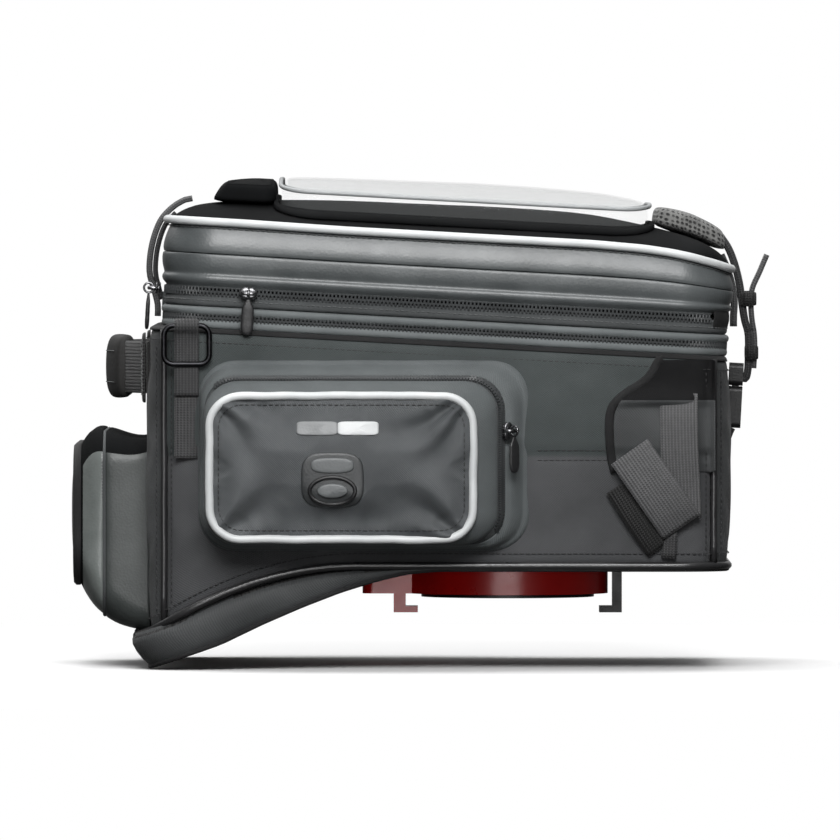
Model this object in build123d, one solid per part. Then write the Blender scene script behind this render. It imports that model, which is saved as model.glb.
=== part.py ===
"""Motorcycle tank bag with an expanding middle, a zipped lid, outside pockets and a tank-ring lock.

Millimetres. +X points forward (towards the handlebars), +Y to the rider's left, +Z up.
The origin is the centre of the tank ring, on the plane where the ring rests on the tank flange.
"""

from build123d import *

import os
from math import atan2, cos, degrees, radians, sin, tan

# ---------------------------------------------------------------- driving dimensions
REAR_X, FRONT_X = -205.0, 125.0     # outer faces of the bag's front and rear walls
HALF_W = 140.0                      # half the bag's outer width
CORNER_R = 28.0                     # corner radius in plan
WALL = 4.0                          # laminated wall: fabric, foam and lining
FLOOR_Z = 20.5                      # flat part of the bag's underside, over the ring
BEND_X = -105.0                     # where the underside starts to fall to the rear
REAR_LOW_Z = -17.5                  # lower edge of the rear wall
PAD_T = 2.5                         # non-slip pad under the flat part
SEAM_Z = 146.0                      # top seam of the body at the origin's X
TILT = 3.15                         # the seam, zips and lid fall to the front, degrees

TOP_REAR_X, TOP_FRONT_X = -199.0, 125.0   # upper assembly in plan, in its own tilted frame
TOP_HALF_W = 136.0
TOP_R = 30.0
EXPAND_Z = 7.0                      # expansion zip line above the seam
MAIN_Z = 22.0                       # main zip line above the seam
LID_EDGE_Z = 27.0                   # lower edge of the lid's moulded wall
LID_WALL = 3.0
BAND_INSET = 2.7                    # rim band and lid skirt behind the zip tapes
BAND_T = 3.0                        # thickness of the rim band
PLEAT_INSET = 8.5                   # folded bellows, inside the rim band
ZIP_GAP = 0.35                      # gap between the two halves of a zip
TAPE_INSET, TAPE_T = 1.5, 1.0       # zip tape round the upper assembly
BEAD_INSET, BEAD_H = 0.3, 1.8       # bead of teeth along the tape's edge

WINDOW_RISE = 13.0                     # clear map window over the lid
WINDOW_T = 1.4
WINDOW_HALF_W, WINDOW_R = 104.0, 18.0
WINDOW_X = (-137.0, 78.0)

CLEAR = 0.3                         # air between neighbours that move, or curved faces that meet
POCKET_DEPTH = 26.0                 # side pocket, from wall to cover
POCKET_WALL = 2.4
COVER_T = 3.7
FACE = (-175.0, -16.0, 32.0, 122.5)      # side pocket cover: X and Z range
FOOT = (-176.0, 11.0, 31.0, 137.0)       # side pocket where it meets the wall
FACE_R, FOOT_R = 17.0, 20.0
FOOT_Y = -HALF_W - CLEAR
FACE_Y = FOOT_Y - POCKET_DEPTH
REAR_POCKET_WALL = 2.5
REAR_POCKET_HALF_W = 92.0
REAR_SPLIT_X = -232.0               # zip seam between rear pocket body and cover

RING_BORE_R = 42.0
COLLAR_R = 46.0
SLIDE_R = 58.0
SLIDE_TRAVEL = 8.0
DISC_R = 75.0
DISC_Z = 18.0
SCREW_R = 2.0
SCREW_CIRCLE_R = 66.0
HOOK_HALF_W, HOOK_LOW_Z, HOOK_T = 14.0, -9.0, 3.5
WIRE_R, SPRING_R, SPRING_TURNS, SPRING_L = 0.35, 2.3, 4.5, 10.6

WEBBING_T = 2.0
STRAP_HALF_W = 10.0                 # 20 mm straps
BUCKLE_HALF_W = 12.5
BUCKLE_X = (TOP_FRONT_X + 4, TOP_FRONT_X + 12)
HANDLE_Z = (117.5, 149.5)           # carrying handle on the rear wall
GRIP_HALF_L = 42.0
D_RING_X, D_RING_Z = -184.0, 158.0
D_RING_Y = -HALF_W - 5.0
D_RING_WIRE_R = 1.6
BIG = 400.0                         # longer than the bag any way

UPPER = Pos(0, 0, SEAM_Z) * Rot(0, TILT, 0)      # the tilted frame of rim and lid


# ---------------------------------------------------------------- helpers
def plan(x0, x1, half_w, radius, z0, z1):
    """An upright prism of a rounded rectangle."""
    sketch = Pos((x0 + x1) / 2, 0) * RectangleRounded(x1 - x0, 2 * half_w, radius)
    return Pos(0, 0, z0) * extrude(sketch, z1 - z0)


def body_plan(inset, z0=-80.0, z1=260.0):
    """The body's outline in plan, inset from its outer face."""
    return plan(REAR_X + inset, FRONT_X - inset, HALF_W - inset, CORNER_R - inset, z0, z1)


def top_plan(inset, z0, z1):
    """The upper assembly's outline in plan, in its tilted frame."""
    return plan(TOP_REAR_X + inset, TOP_FRONT_X - inset, TOP_HALF_W - inset, TOP_R - inset, z0, z1)


def side_prism(points, half_width=BIG):
    """A polygon drawn in X and Z, carried along Y to both sides."""
    return extrude(Plane.XZ * make_face(Polyline(*points, close=True)), half_width, both=True)


def block(x0, x1, y0, y1, z0, z1):
    return Pos((x0 + x1) / 2, (y0 + y1) / 2, (z0 + z1) / 2) * Box(x1 - x0, y1 - y0, z1 - z0)


def soft_block(x0, x1, y0, y1, z0, z1, radius):
    """A block with all its edges rounded."""
    made = block(x0, x1, y0, y1, z0, z1)
    return fillet(made.edges(), radius)


def other_side(shape):
    return mirror(shape, Plane.XZ)


def seam_height(x):
    """Height of the body's tilted top seam."""
    return SEAM_Z - x * tan(radians(TILT))


def write(name, shape):
    export_step(Compound(children=list(shape.solids())), f"parts/{name}.step")


# ---------------------------------------------------------------- underside profiles
UNDERSIDE = [(BIG, FLOOR_Z), (BEND_X + 12, FLOOR_Z), (BEND_X - 12, FLOOR_Z - 5), (REAR_X, REAR_LOW_Z)]
REAR_SLOPE = (FLOOR_Z - 5 - REAR_LOW_Z) / (BEND_X - 12 - REAR_X)
UNDERSIDE_REAR = (-BIG, REAR_LOW_Z - REAR_SLOPE * (BIG + REAR_X))


def above_underside(lift):
    """Everything above the underside line raised by lift, up to the tilted seam."""
    line = [(x, z + lift) for x, z in UNDERSIDE] + [(UNDERSIDE_REAR[0], UNDERSIDE_REAR[1] + lift)]
    return side_prism([*line, (-BIG, seam_height(-BIG)), (BIG, seam_height(BIG))])


# ---------------------------------------------------------------- body walls and floor
def wall_panels():
    """Four sewn wall panels that meet at the mitred corner seams."""
    ring = (body_plan(0) - body_plan(WALL)) & above_underside(0)
    rear_c, front_c, side_c = REAR_X + CORNER_R, FRONT_X - CORNER_R, HALF_W - CORNER_R
    reach = 100.0

    def wedge(points):
        return Pos(0, 0, -100) * extrude(make_face(Polyline(*points, close=True)), 400)

    front = wedge([(front_c, side_c), (front_c + reach, side_c + reach),
                   (front_c + reach, -side_c - reach), (front_c, -side_c)])
    rear = wedge([(rear_c, side_c), (rear_c - reach, side_c + reach),
                  (rear_c - reach, -side_c - reach), (rear_c, -side_c)])
    right = wedge([(rear_c, -side_c), (front_c, -side_c),
                   (front_c + reach, -side_c - reach), (rear_c - reach, -side_c - reach)])
    return {
        "front_panel": ring & front,
        "rear_panel": ring & rear,
        "side_panel_right": ring & right,
        "side_panel_left": ring & other_side(right),
    }


def screw_places():
    return [(SCREW_CIRCLE_R * cos(radians(a)), SCREW_CIRCLE_R * sin(radians(a))) for a in (60, 120, 240, 300)]


def screw_holes(radius, z0=-10.0, z1=60.0):
    """Upright holes or bars at the four screws."""
    made = [Pos(x, y, z0) * extrude(Circle(radius), z1 - z0) for x, y in screw_places()]
    return made[0] + made[1:]


def base_board():
    """Stiff floor plate inside the walls, bent to follow the tank."""
    board = body_plan(WALL + CLEAR) & (above_underside(0.2) - above_underside(3.2))
    return board - screw_holes(SCREW_R + 0.2)


def base_pad():
    """Non-slip pad under the floor; it thickens into a saddle skirt at the rear."""
    heel, shin = (REAR_X, -38.0), (-165.0, -24.0)      # the skirt's rear stretch
    skirt = [(-40, FLOOR_Z - PAD_T), (-58, 16.5), (-75, 12.5), (-96, 6), (-118, -2.5), (-140, -12),
             shin, heel]
    top = [(x, z - 0.2) for x, z in UNDERSIDE[1:]]
    outline = [(FRONT_X + 1, FLOOR_Z - 0.2), *top, *reversed(skirt), (FRONT_X + 1, FLOOR_Z - PAD_T)]
    pad = body_plan(0) & side_prism(outline)
    slope = degrees(atan2(shin[1] - heel[1], shin[0] - heel[0]))
    arch_r, arch_h = 440.0, 15.0
    arch_z = heel[1] + arch_h - arch_r / cos(radians(slope))
    arch = Pos(REAR_X, 0, arch_z) * Rot(0, 90 - slope, 0) * Cylinder(arch_r, BIG)
    above_floor = block(-120, 200, -BIG, BIG, FLOOR_Z - PAD_T - 0.01, 100)
    flat = pad & above_floor
    rear = pad - above_floor
    ring_hole = Pos(0, 0, -20) * extrude(Circle(DISC_R + 0.4), 60)
    tongue_room = block(-100, -40, -22, 22, -40, FLOOR_Z - PAD_T - 0.4)
    return (flat + (rear - arch)) - ring_hole - tongue_room


def body_piping():
    """Piping round the foot of the walls and down their four corner seams."""
    band = above_underside(-2.2) - above_underside(1.6)
    foot = (body_plan(-2.2) - body_plan(-0.05)) & band
    foot -= block(REAR_X - 5, REAR_X + 5, -REAR_POCKET_HALF_W - 1, REAR_POCKET_HALF_W + 1, -60, 0)
    at = CORNER_R + 1.5
    rods = []
    for x, sx in ((REAR_X + CORNER_R, -1), (FRONT_X - CORNER_R, 1)):
        for sy in (-1, 1):
            y = sy * (HALF_W - CORNER_R)
            place = (x + sx * at * cos(radians(45)), y + sy * at * sin(radians(45)))
            upright = Pos(place[0], place[1], -60) * extrude(Circle(1.8), 300)
            rods.append(((upright & above_underside(4)) - body_plan(-0.05)).solid())
    return Compound(children=[*foot.solids(), *rods])


# ---------------------------------------------------------------- tank ring and its lock
def ring_housing():
    """Disc under the floor, with the collar that fits round the tank flange and the front hook."""
    collar = extrude(Circle(COLLAR_R), DISC_Z)
    lip = extrude(Circle(COLLAR_R + 4), 1.5)
    disc = Pos(0, 0, DISC_Z) * extrude(Circle(DISC_R), FLOOR_Z + 0.1 - DISC_Z)
    hook_foot = HOOK_LOW_Z + HOOK_T
    hook = (block(60.5, 66, -HOOK_HALF_W, HOOK_HALF_W, HOOK_LOW_Z, DISC_Z)
            + block(53, 60.5, -HOOK_HALF_W, HOOK_HALF_W, HOOK_LOW_Z, hook_foot))
    lug = block(-71, -68, -HOOK_HALF_W, HOOK_HALF_W, 4, DISC_Z)
    made = collar + lip + disc + hook + lug
    made -= Pos(0, 0, -1) * extrude(Circle(RING_BORE_R), DISC_Z + 20)
    return made - screw_holes(SCREW_R + 0.2)


def release_slide():
    """Red yoke that slides rearwards on the collar and frees the rear catch."""
    z0, z1 = 2.0, DISC_Z - 0.6
    yoke = Pos(0, 0, z0) * extrude(Circle(SLIDE_R), z1 - z0)
    tongue = block(-84, -40, -17, 17, z0, z1)
    tongue = fillet(tongue.edges().filter_by(Axis.Z).group_by(Axis.X)[0], 6)
    half = HOOK_HALF_W - 1
    catch = (block(-66, -59, -half, half, HOOK_LOW_Z, z0 + 1)
             + block(-59, -52, -half, half, HOOK_LOW_Z, HOOK_LOW_Z + HOOK_T))
    opening = 2 * COLLAR_R + 1.0
    slot = Pos(SLIDE_TRAVEL / 2, 0, -1) * extrude(SlotOverall(opening + SLIDE_TRAVEL, opening), z1 + 2)
    window = block(-71 - CLEAR, -56, -HOOK_HALF_W - 0.5, HOOK_HALF_W + 0.5, 3.2, z1 + 1)
    slot = slot & block(-100, 100, -100, 100, z0 - 0.1, z1 + 1)
    return (yoke + tongue + catch) - slot - window


def release_springs():
    """Two compression springs between the housing's lug and the slide."""
    springs = []
    for y in (-7.5, 7.5):
        path = Helix(pitch=SPRING_L / SPRING_TURNS, height=SPRING_L, radius=SPRING_R)
        coil = sweep(Plane(origin=path @ 0, z_dir=path % 0) * Circle(WIRE_R), path)
        springs.append((Pos(-67.3, y, 10) * Rot(0, 90, 0) * coil).solid())
    return Compound(children=springs)


def ring_backing_plate():
    """Plate inside the bag that the ring's screws pull against."""
    z0 = FLOOR_Z + 3.3
    plate = Pos(0, 0, z0) * extrude(Circle(DISC_R), 2.5)
    return plate - Pos(0, 0, z0 - 1) * extrude(Circle(30), 5) - screw_holes(SCREW_R + 0.05)


def ring_screws():
    """Button-head screws with hexagon sockets."""
    screws = []
    for x, y in screw_places():
        head = Pos(x, y, DISC_Z - 1.9) * extrude(Circle(3.8), 1.8)
        head -= Pos(x, y, DISC_Z - 2.3) * extrude(RegularPolygon(1.5, 6), 1.4)
        shank = Pos(x, y, DISC_Z - 0.2) * extrude(Circle(SCREW_R), FLOOR_Z + 6.5 - DISC_Z)
        screws.append((head + shank).solid())
    return Compound(children=screws)


# ---------------------------------------------------------------- zips
def zip_half(z_line, side, tape_h):
    """One half of a zip round the bag: flat tape with a bead of teeth at the line.
    side is +1 for the half above the line and -1 for the half below it."""
    edge = z_line + side * ZIP_GAP / 2
    lo, hi = sorted((edge, z_line + side * tape_h))
    tape = top_plan(TAPE_INSET, lo, hi) - top_plan(TAPE_INSET + TAPE_T, lo - 1, hi + 1)
    lo, hi = sorted((edge, z_line + side * BEAD_H))
    bead = top_plan(BEAD_INSET, lo, hi) - top_plan(TAPE_INSET + TAPE_T / 2, lo - 1, hi + 1)
    return tape + bead


def open_front(shape):
    """Cuts a zip away across the front, where the lid's fabric hinge is."""
    return shape - block(TOP_FRONT_X - TOP_R, BIG, -BIG, BIG, -100, 200)


def slider(frame, puller_along):
    """A zip slider and its puller, placed by frame: X along the zip, Z out of the bag.
    The puller hangs from the bridge along frame direction puller_along, 'across' or 'along'.
    Returns slider, puller."""
    bridge_h = 7.4
    body = Pos(0, 0, 0.6 + 1.4) * Box(11, 9, 2.8)
    body = fillet(body.edges().filter_by(Axis.Z), 2.5)
    bar = block(-4.6, 4.6, -0.9, 0.9, bridge_h - 0.8, bridge_h + 0.8)
    legs = block(-4.6, -3.2, -0.9, 0.9, 3.0, bridge_h + 0.8) + block(3.2, 4.6, -0.9, 0.9, 3.0, bridge_h + 0.8)
    bridge = bar + legs
    ring = Pos(0, 0, bridge_h) * Rot(0, 90, 0) * Torus(2.9, 0.7)
    neck = block(-1.2, 1.2, -7.5, -3.2, bridge_h - 0.7, bridge_h + 0.7)
    tab = block(-4, 4, -24, -7, bridge_h - 1.3, bridge_h + 1.3)
    tab = fillet(tab.edges().filter_by(Axis.Z), 3)
    pull = ring + neck + tab
    if puller_along == "along":
        turn = Rot(0, 0, -90)
        bridge, pull = turn * bridge, turn * pull
    return frame * (body + bridge), frame * pull


def facing(origin, along, out):
    """A frame at origin with X along the zip and Z out of the bag."""
    return Location(Plane(origin=origin, x_dir=along, z_dir=out))


# The sliders: node stem, frame, and which way the puller hangs. In the frames of the upper assembly
# the place is given before UPPER tilts it.
POCKET_OUT = (0.6937, -0.7203, 0.0)
SLIDERS = {
    "main_side": (UPPER * facing((-150, -TOP_HALF_W - 0.2, MAIN_Z), (1, 0, 0), (0, -1, 0)), "across"),
    "main_rear": (UPPER * facing((TOP_REAR_X - 1.3, -100, MAIN_Z), (0, -1, 0), (-1, 0, 0)), "across"),
    "expansion": (UPPER * facing((22, TOP_HALF_W + 0.2, EXPAND_Z), (-1, 0, 0), (0, 1, 0)), "across"),
    "pocket_right": (facing((-2.1, -153.7, 98), (0, 0, 1), POCKET_OUT), "along"),
    "pocket_left": (facing((-2.1, 153.7, 98), (0, 0, 1), (POCKET_OUT[0], -POCKET_OUT[1], 0)), "along"),
    "rear_pocket": (facing((REAR_SPLIT_X + 2, REAR_POCKET_HALF_W + 0.4, 74), (0, 0, 1), (0, 1, 0)), "along"),
}


# ---------------------------------------------------------------- expanding rim
def rim_band():
    """Stiff band of the upper bag, behind the zip tapes."""
    z0, z1 = EXPAND_Z + ZIP_GAP, MAIN_Z - ZIP_GAP
    return top_plan(BAND_INSET, z0, z1) - top_plan(BAND_INSET + BAND_T, z0 - 1, z1 + 1)


def bellows():
    """Expansion fabric, folded away inside the walls."""
    z0, z1 = -24, EXPAND_Z - 1
    return top_plan(PLEAT_INSET, z0, z1) - top_plan(PLEAT_INSET + 1.0, z0 - 1, z1 + 1)


def lid_hinge_strip():
    """Fabric strip at the front that the lid turns on."""
    return block(TOP_FRONT_X - 1.0, TOP_FRONT_X, -100, 100, MAIN_Z - 8, MAIN_Z - ZIP_GAP)


# ---------------------------------------------------------------- lid and map pocket
def dome(lift):
    """The lid's domed top raised by lift: a long profile met by a cross profile."""
    long_pts = [(-230, 50), (-199, 63.5), (-186, 70.5), (-150, 75.5), (-60, 78.5), (20, 79), (48, 77.5),
                (74, 73.5), (102, 67.5), (125, 57.5), (150, 42)]
    long_top = Spline([(x, z + lift) for x, z in long_pts])
    long_face = make_face([long_top, Polyline((150, 42 + lift), (150, 10), (-230, 10), (-230, 50 + lift))])
    long_part = extrude(Plane.XZ * long_face, BIG, both=True)
    half = TOP_HALF_W + 8
    arc = ThreePointArc((-half, 59 + lift), (0, 80.5 + lift), (half, 59 + lift))
    cross_face = make_face([arc, Polyline((half, 59 + lift), (half, 10), (-half, 10), (-half, 59 + lift))])
    cross_part = extrude(Plane.YZ * cross_face, BIG, both=True)
    return long_part & cross_part


def lid_shell():
    """Moulded side wall and domed top in one shell, with a thin skirt behind the zip tape."""
    z0 = MAIN_Z + ZIP_GAP
    outer = top_plan(0, LID_EDGE_Z, 120) + top_plan(BAND_INSET, z0, LID_EDGE_Z + 1)
    outer = outer & dome(0)
    inner = top_plan(BAND_INSET + LID_WALL, z0 - 5, 120) & dome(-LID_WALL)
    return outer - inner


def lid_piping():
    """Reflective piping round the shoulder of the lid."""
    edge = [(-220, 61.8), (-155, 61.6), (-97, 60.6), (45, 60.8), (74, 59.8), (102, 56.4), (125, 50.9),
            (140, 46)]
    band = [(x, z + 1.6) for x, z in edge] + [(x, z - 1.6) for x, z in reversed(edge)]
    return (top_plan(-2.2, 0, 120) - top_plan(-0.05, -1, 121)) & side_prism(band)


def map_plan(inset, z0=0, z1=140):
    """The clear map window in plan."""
    return plan(WINDOW_X[0] + inset, WINDOW_X[1] - inset, WINDOW_HALF_W - inset, WINDOW_R - inset, z0, z1)


def map_frame():
    """Padded border of the map pocket, sewn to the lid."""
    border = plan(-139, 80, 118, 26, 0, 140) - map_plan(1.3)
    return border & (dome(3.2) - dome(0.15))


def map_window():
    """Clear window: a shallow tray over the lid, open at the rear where a map goes in."""
    outer = map_plan(1.5) & dome(WINDOW_RISE)
    inner = map_plan(3.0) & dome(WINDOW_RISE - WINDOW_T)
    mouth = block(-150, -130, -88, 88, 60, 140) & (dome(10.5) - dome(3.3))
    return (outer - inner) - dome(0.3) - mouth


def map_flap():
    """Padded flap that closes the rear end of the map pocket."""
    cover = plan(-174, -139.5, 92, 10, 0, 140)
    return cover & (dome(11.0) - dome(0.3))


def map_front_block():
    """Padded, mesh-faced end of the map pocket, over the front of the lid."""
    cover = plan(80.5, 122, 84, 10, 0, 140)
    return cover & (dome(10.0) - dome(0.15))


# ---------------------------------------------------------------- straps and buckles
def buckle_socket():
    """Female half of the front side-release buckle, open upwards."""
    x0, x1 = BUCKLE_X
    shell = block(x0, x1, -BUCKLE_HALF_W, BUCKLE_HALF_W, -41, -17)
    shell = fillet(shell.edges().filter_by(Axis.X), 3)
    return shell - block(x0 + 1.5, x1 - 1.5, -BUCKLE_HALF_W + 2, BUCKLE_HALF_W - 2, -36, -16)


def buckle_plug():
    """Male half: three prongs in the socket, and a slotted bar that slides along behind the webbing."""
    x0, x1 = BUCKLE_X
    bar = block(x0, x1, -BUCKLE_HALF_W, BUCKLE_HALF_W, -16.5, -3.5)
    bar = fillet(bar.edges().filter_by(Axis.X), 3)
    bar -= block(x0 - 1, x1 + 1, -9.5, 9.5, -8.5, -6) + block(x0 - 1, x1 + 1, -9.5, 9.5, -13, -10.5)
    for y0, y1 in ((-9.5, -6.5), (-1.5, 1.5), (6.5, 9.5)):
        bar += block(x0 + 2.1, x1 - 2.1, y0, y1, -31.5, -15.5)
    return bar


def strap(points):
    """Webbing that follows a line drawn in X and Z, centred on Y = 0."""
    face = Plane.XZ * trace(Polyline(*points), WEBBING_T)
    return extrude(face, STRAP_HALF_W, both=True)


def rear_strap():
    """Closing strap, from the lid's top over its rear edge to the patch on the rim."""
    return strap([(-203.3, 5.8), (-203.6, 12), (-206, 20), (-209, 30), (-208.3, 46), (-205, 60),
                  (-198.5, 68.5), (-190.5, 71.8)])


def rear_strap_patch():
    """Hook-and-loop patch on the rim that holds the rear strap's end."""
    return block(-201.1, -197.65, -11, 11, 9.3, 19.8)


def front_strap_upper():
    """Front strap on the lid, over the lid's front edge, with the strap's loose end beside it."""
    main = strap([(123, 67.5), (130, 59.5), (136.5, 47), (138.2, 40)])
    tail = strap([(142.6, 40), (143.6, 47), (146.5, 59)])
    return Compound(children=[main.solid(), tail.solid()])


def front_strap_middle():
    """The same webbing on the rim, down over the plug's face."""
    return strap([(138.4, 17.5), (138.4, -14)])


def front_strap_lower():
    """Webbing sewn to the front panel that holds the front socket."""
    return strap([(130.8, -68), (130.2, -52), (133, -42.3)])


def side_loop():
    """Folded webbing loop at the front of the right side."""
    y0 = -HALF_W - 0.4
    thick = 2.2

    def band(points, depth):
        face = Plane.XZ * make_face(Polyline(*points, close=True))
        return Pos(0, y0 - depth, 0) * extrude(face, thick)

    upper = band([(62, 101), (107, 103), (107, 62), (84, 62)], 0)
    slanted = band([(78, 99), (59, 75), (88, 36), (108, 61)], thick + 0.2)
    return Compound(children=[upper.solid(), slanted.solid()])


# ---------------------------------------------------------------- rear handle, D-rings
def handle_curve(offset, half_y=78.0, bow=18.5):
    """Bow of the rear handle in plan, offset outwards from its centre line."""
    x0 = REAR_X - 1.7
    return ThreePointArc((x0 - offset, half_y), (x0 - bow - offset, 0), (x0 - offset, -half_y))


def bow_face(outward, inward):
    """The bow's flat face, from inward behind its centre line to outward in front of it."""
    outer, inner = handle_curve(outward), handle_curve(-inward)
    return make_face([outer, Line(outer @ 1, inner @ 1), inner, Line(inner @ 0, outer @ 0)])


def rear_handle():
    """Webbing bow of the carrying handle, sewn flat at both ends."""
    bow = bow_face(1.25, 1.25)
    ends = [Pos(REAR_X - 1.75, sy * 88) * Rectangle(2.5, 24) for sy in (-1, 1)]
    flat = bow + ends
    return Pos(0, 0, HANDLE_Z[0]) * extrude(flat, HANDLE_Z[1] - HANDLE_Z[0])


def handle_grip():
    """Padded sleeve round the middle of the handle."""
    sleeve = bow_face(6.2, 4.4) & Pos(-230, 0) * Rectangle(60, 2 * GRIP_HALF_L)
    lo, hi = HANDLE_Z
    solid = Pos(0, 0, lo - 3) * extrude(sleeve, hi - lo + 6)
    solid = fillet(solid.edges().filter_by(lambda e: e.length > 60), 3.5)
    return solid - Pos(0, 0, lo - 0.1) * extrude(bow_face(1.35, 1.35), hi - lo + 0.2)


def handle_anchors():
    """Reinforcing patches over the handle's sewn ends."""
    patches = []
    for sy in (-1, 1):
        lo, hi = sorted((sy * 80, sy * 101))
        patches.append(soft_block(REAR_X - 4.9, REAR_X - 3.1, lo, hi, HANDLE_Z[0] - 4, HANDLE_Z[1] + 4, 0.8))
    return Compound(children=[p.solid() for p in patches])


def d_ring():
    """Flat D-ring for the shoulder strap; its top bar is the pivot."""
    path = FilletPolyline((D_RING_X - 13, D_RING_Y, D_RING_Z), (D_RING_X + 13, D_RING_Y, D_RING_Z),
                          (D_RING_X + 13, D_RING_Y, D_RING_Z - 22), (D_RING_X - 13, D_RING_Y, D_RING_Z - 22),
                          radius=5.5, close=True)
    return sweep(Plane(origin=path @ 0, z_dir=path % 0) * Circle(D_RING_WIRE_R), path)


def ring_tab():
    """Webbing tab folded round the D-ring's top bar and sewn to the side."""
    bar = Pos(D_RING_X, D_RING_Y, D_RING_Z) * Rot(0, 90, 0)
    leg = block(D_RING_X - 7, D_RING_X + 7, -HALF_W - 2.4, -HALF_W - 0.3, D_RING_Z - 78, D_RING_Z - 1)
    return (bar * Cylinder(4.0, 14) + leg) - bar * Cylinder(2.3, 16)


# ---------------------------------------------------------------- side pockets
def pocket_section(y, outline, radius, grow=0.0):
    """A rounded rectangle at depth y, grown all round."""
    x0, x1, z0, z1 = outline
    sketch = RectangleRounded(x1 - x0 + 2 * grow, z1 - z0 + 2 * grow, radius + grow)
    return Plane(origin=((x0 + x1) / 2, y, (z0 + z1) / 2), x_dir=(1, 0, 0), z_dir=(0, -1, 0)) * sketch


def pocket_body():
    """Bellows wall of the side pocket, open to the cover."""
    def between(inset, stretch):
        a = pocket_section(FOOT_Y + stretch, FOOT, FOOT_R, -inset)
        b = pocket_section(FACE_Y - stretch, FACE, FACE_R, -inset)
        return loft([a, b], ruled=True)

    return between(0, 0) - between(POCKET_WALL, 0.01)


def pocket_cover():
    """Padded front of the side pocket, hinged along its lower edge."""
    plate = extrude(pocket_section(FACE_Y - CLEAR, FACE, FACE_R), COVER_T)
    return chamfer(plate.faces().sort_by(Axis.Y)[0].edges(), 1.2)


def pocket_piping():
    """Reflective piping round the cover."""
    y0 = FACE_Y - CLEAR - 0.2
    return extrude(pocket_section(y0, FACE, FACE_R, 2.1) - pocket_section(y0, FACE, FACE_R, 0.05), 3.4)


# ---------------------------------------------------------------- rear pocket
REAR_POCKET_FOOT_X = REAR_X - CLEAR
REAR_OUTLINE = [(REAR_POCKET_FOOT_X, 93), (-224, 95.5), (-238, 97), (-248.5, 85), (-252, 44), (-249, 18),
                (-240, 2),
                (-224, -14), (REAR_POCKET_FOOT_X, -18.5)]


def rear_pocket_solid(inset):
    """The moulded rear pocket as one closed form."""
    face = make_face(Polyline(*REAR_OUTLINE, close=True))
    rounded = fillet([v for v in face.vertices() if v.X < -230], 7)
    if inset:
        open_end = Pos(REAR_POCKET_FOOT_X, 37) * Rectangle(2 * inset, 100)
        rounded = offset(rounded, -inset, kind=Kind.INTERSECTION) + open_end
    half = REAR_POCKET_HALF_W - inset
    in_plan = plan(-252 + inset, -150, half, 22 - inset, -80, 150)
    shape = extrude(Plane.XZ * rounded, BIG, both=True) & in_plan
    return shape & block(-300, REAR_POCKET_FOOT_X, -BIG, BIG, -80, 150)


def rear_pocket_parts():
    """The pocket's body on the rear wall and its moulded cover."""
    shell = rear_pocket_solid(0) - rear_pocket_solid(REAR_POCKET_WALL)
    body = shell & block(REAR_SPLIT_X + CLEAR / 2, 0, -BIG, BIG, -80, 150)
    cover = shell & block(-300, REAR_SPLIT_X - CLEAR / 2, -BIG, BIG, -80, 150)
    return body, cover


# ---------------------------------------------------------------- build
def build():
    os.makedirs("parts", exist_ok=True)

    for name, panel in wall_panels().items():
        write(name, panel)
    write("base_board", base_board())
    write("base_pad", base_pad())
    write("body_piping", body_piping())

    write("ring_housing", ring_housing())
    write("release_slide", release_slide())
    write("release_springs", release_springs())
    write("ring_backing_plate", ring_backing_plate())
    write("ring_screws", ring_screws())

    write("expansion_zip_lower", UPPER * zip_half(EXPAND_Z, -1, 6.8))
    write("expansion_zip_upper", UPPER * zip_half(EXPAND_Z, 1, 6.4))
    write("rim_band", UPPER * rim_band())
    write("bellows", UPPER * bellows())
    write("main_zip_lower", UPPER * open_front(zip_half(MAIN_Z, -1, 8.2)))
    write("lid_hinge_strip", UPPER * lid_hinge_strip())

    write("main_zip_upper", UPPER * open_front(zip_half(MAIN_Z, 1, 4.9)))
    write("lid_shell", UPPER * lid_shell())
    write("lid_piping", UPPER * lid_piping())
    write("map_frame", UPPER * map_frame())
    write("map_window", UPPER * map_window())
    write("map_flap", UPPER * map_flap())
    write("map_front_block", UPPER * map_front_block())

    write("rear_strap", UPPER * rear_strap())
    write("rear_strap_patch", UPPER * rear_strap_patch())
    write("front_strap_upper", UPPER * front_strap_upper())
    write("front_strap_middle", UPPER * front_strap_middle())
    write("front_strap_lower", UPPER * front_strap_lower())
    write("front_buckle_socket", UPPER * buckle_socket())
    write("front_buckle_plug", UPPER * buckle_plug())

    loop = side_loop()
    write("side_loops", Compound(children=[*loop.solids(), *other_side(loop).solids()]))
    write("rear_handle", rear_handle())
    write("handle_grip", handle_grip())
    write("handle_anchors", handle_anchors())
    write("d_ring_right", d_ring())
    write("d_ring_left", other_side(d_ring()))
    tab = ring_tab()
    write("d_ring_tabs", Compound(children=[tab.solid(), other_side(tab).solid()]))

    write("pocket_body_right", pocket_body())
    write("pocket_body_left", other_side(pocket_body()))
    write("pocket_cover_right", pocket_cover())
    write("pocket_cover_left", other_side(pocket_cover()))
    write("pocket_piping_right", pocket_piping())
    write("pocket_piping_left", other_side(pocket_piping()))

    body, cover = rear_pocket_parts()
    write("rear_pocket_body", body)
    write("rear_pocket_cover", cover)

    for stem, (frame, way) in SLIDERS.items():
        made, pull = slider(frame, way)
        write(f"{stem}_slider", made)
        write(f"{stem}_puller", pull)


build()
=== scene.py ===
"""Looks of the motorcycle tank bag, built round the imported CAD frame.

Shapes are worked out in millimetres and scaled to metres as each mesh is made.
+X points forward, +Y to the rider's left, +Z up. The rim and the lid have a tilted frame of their own.
"""

import math

import bmesh
import bpy
from mathutils import Matrix, Vector, noise
from mathutils.bvhtree import BVHTree


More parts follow.
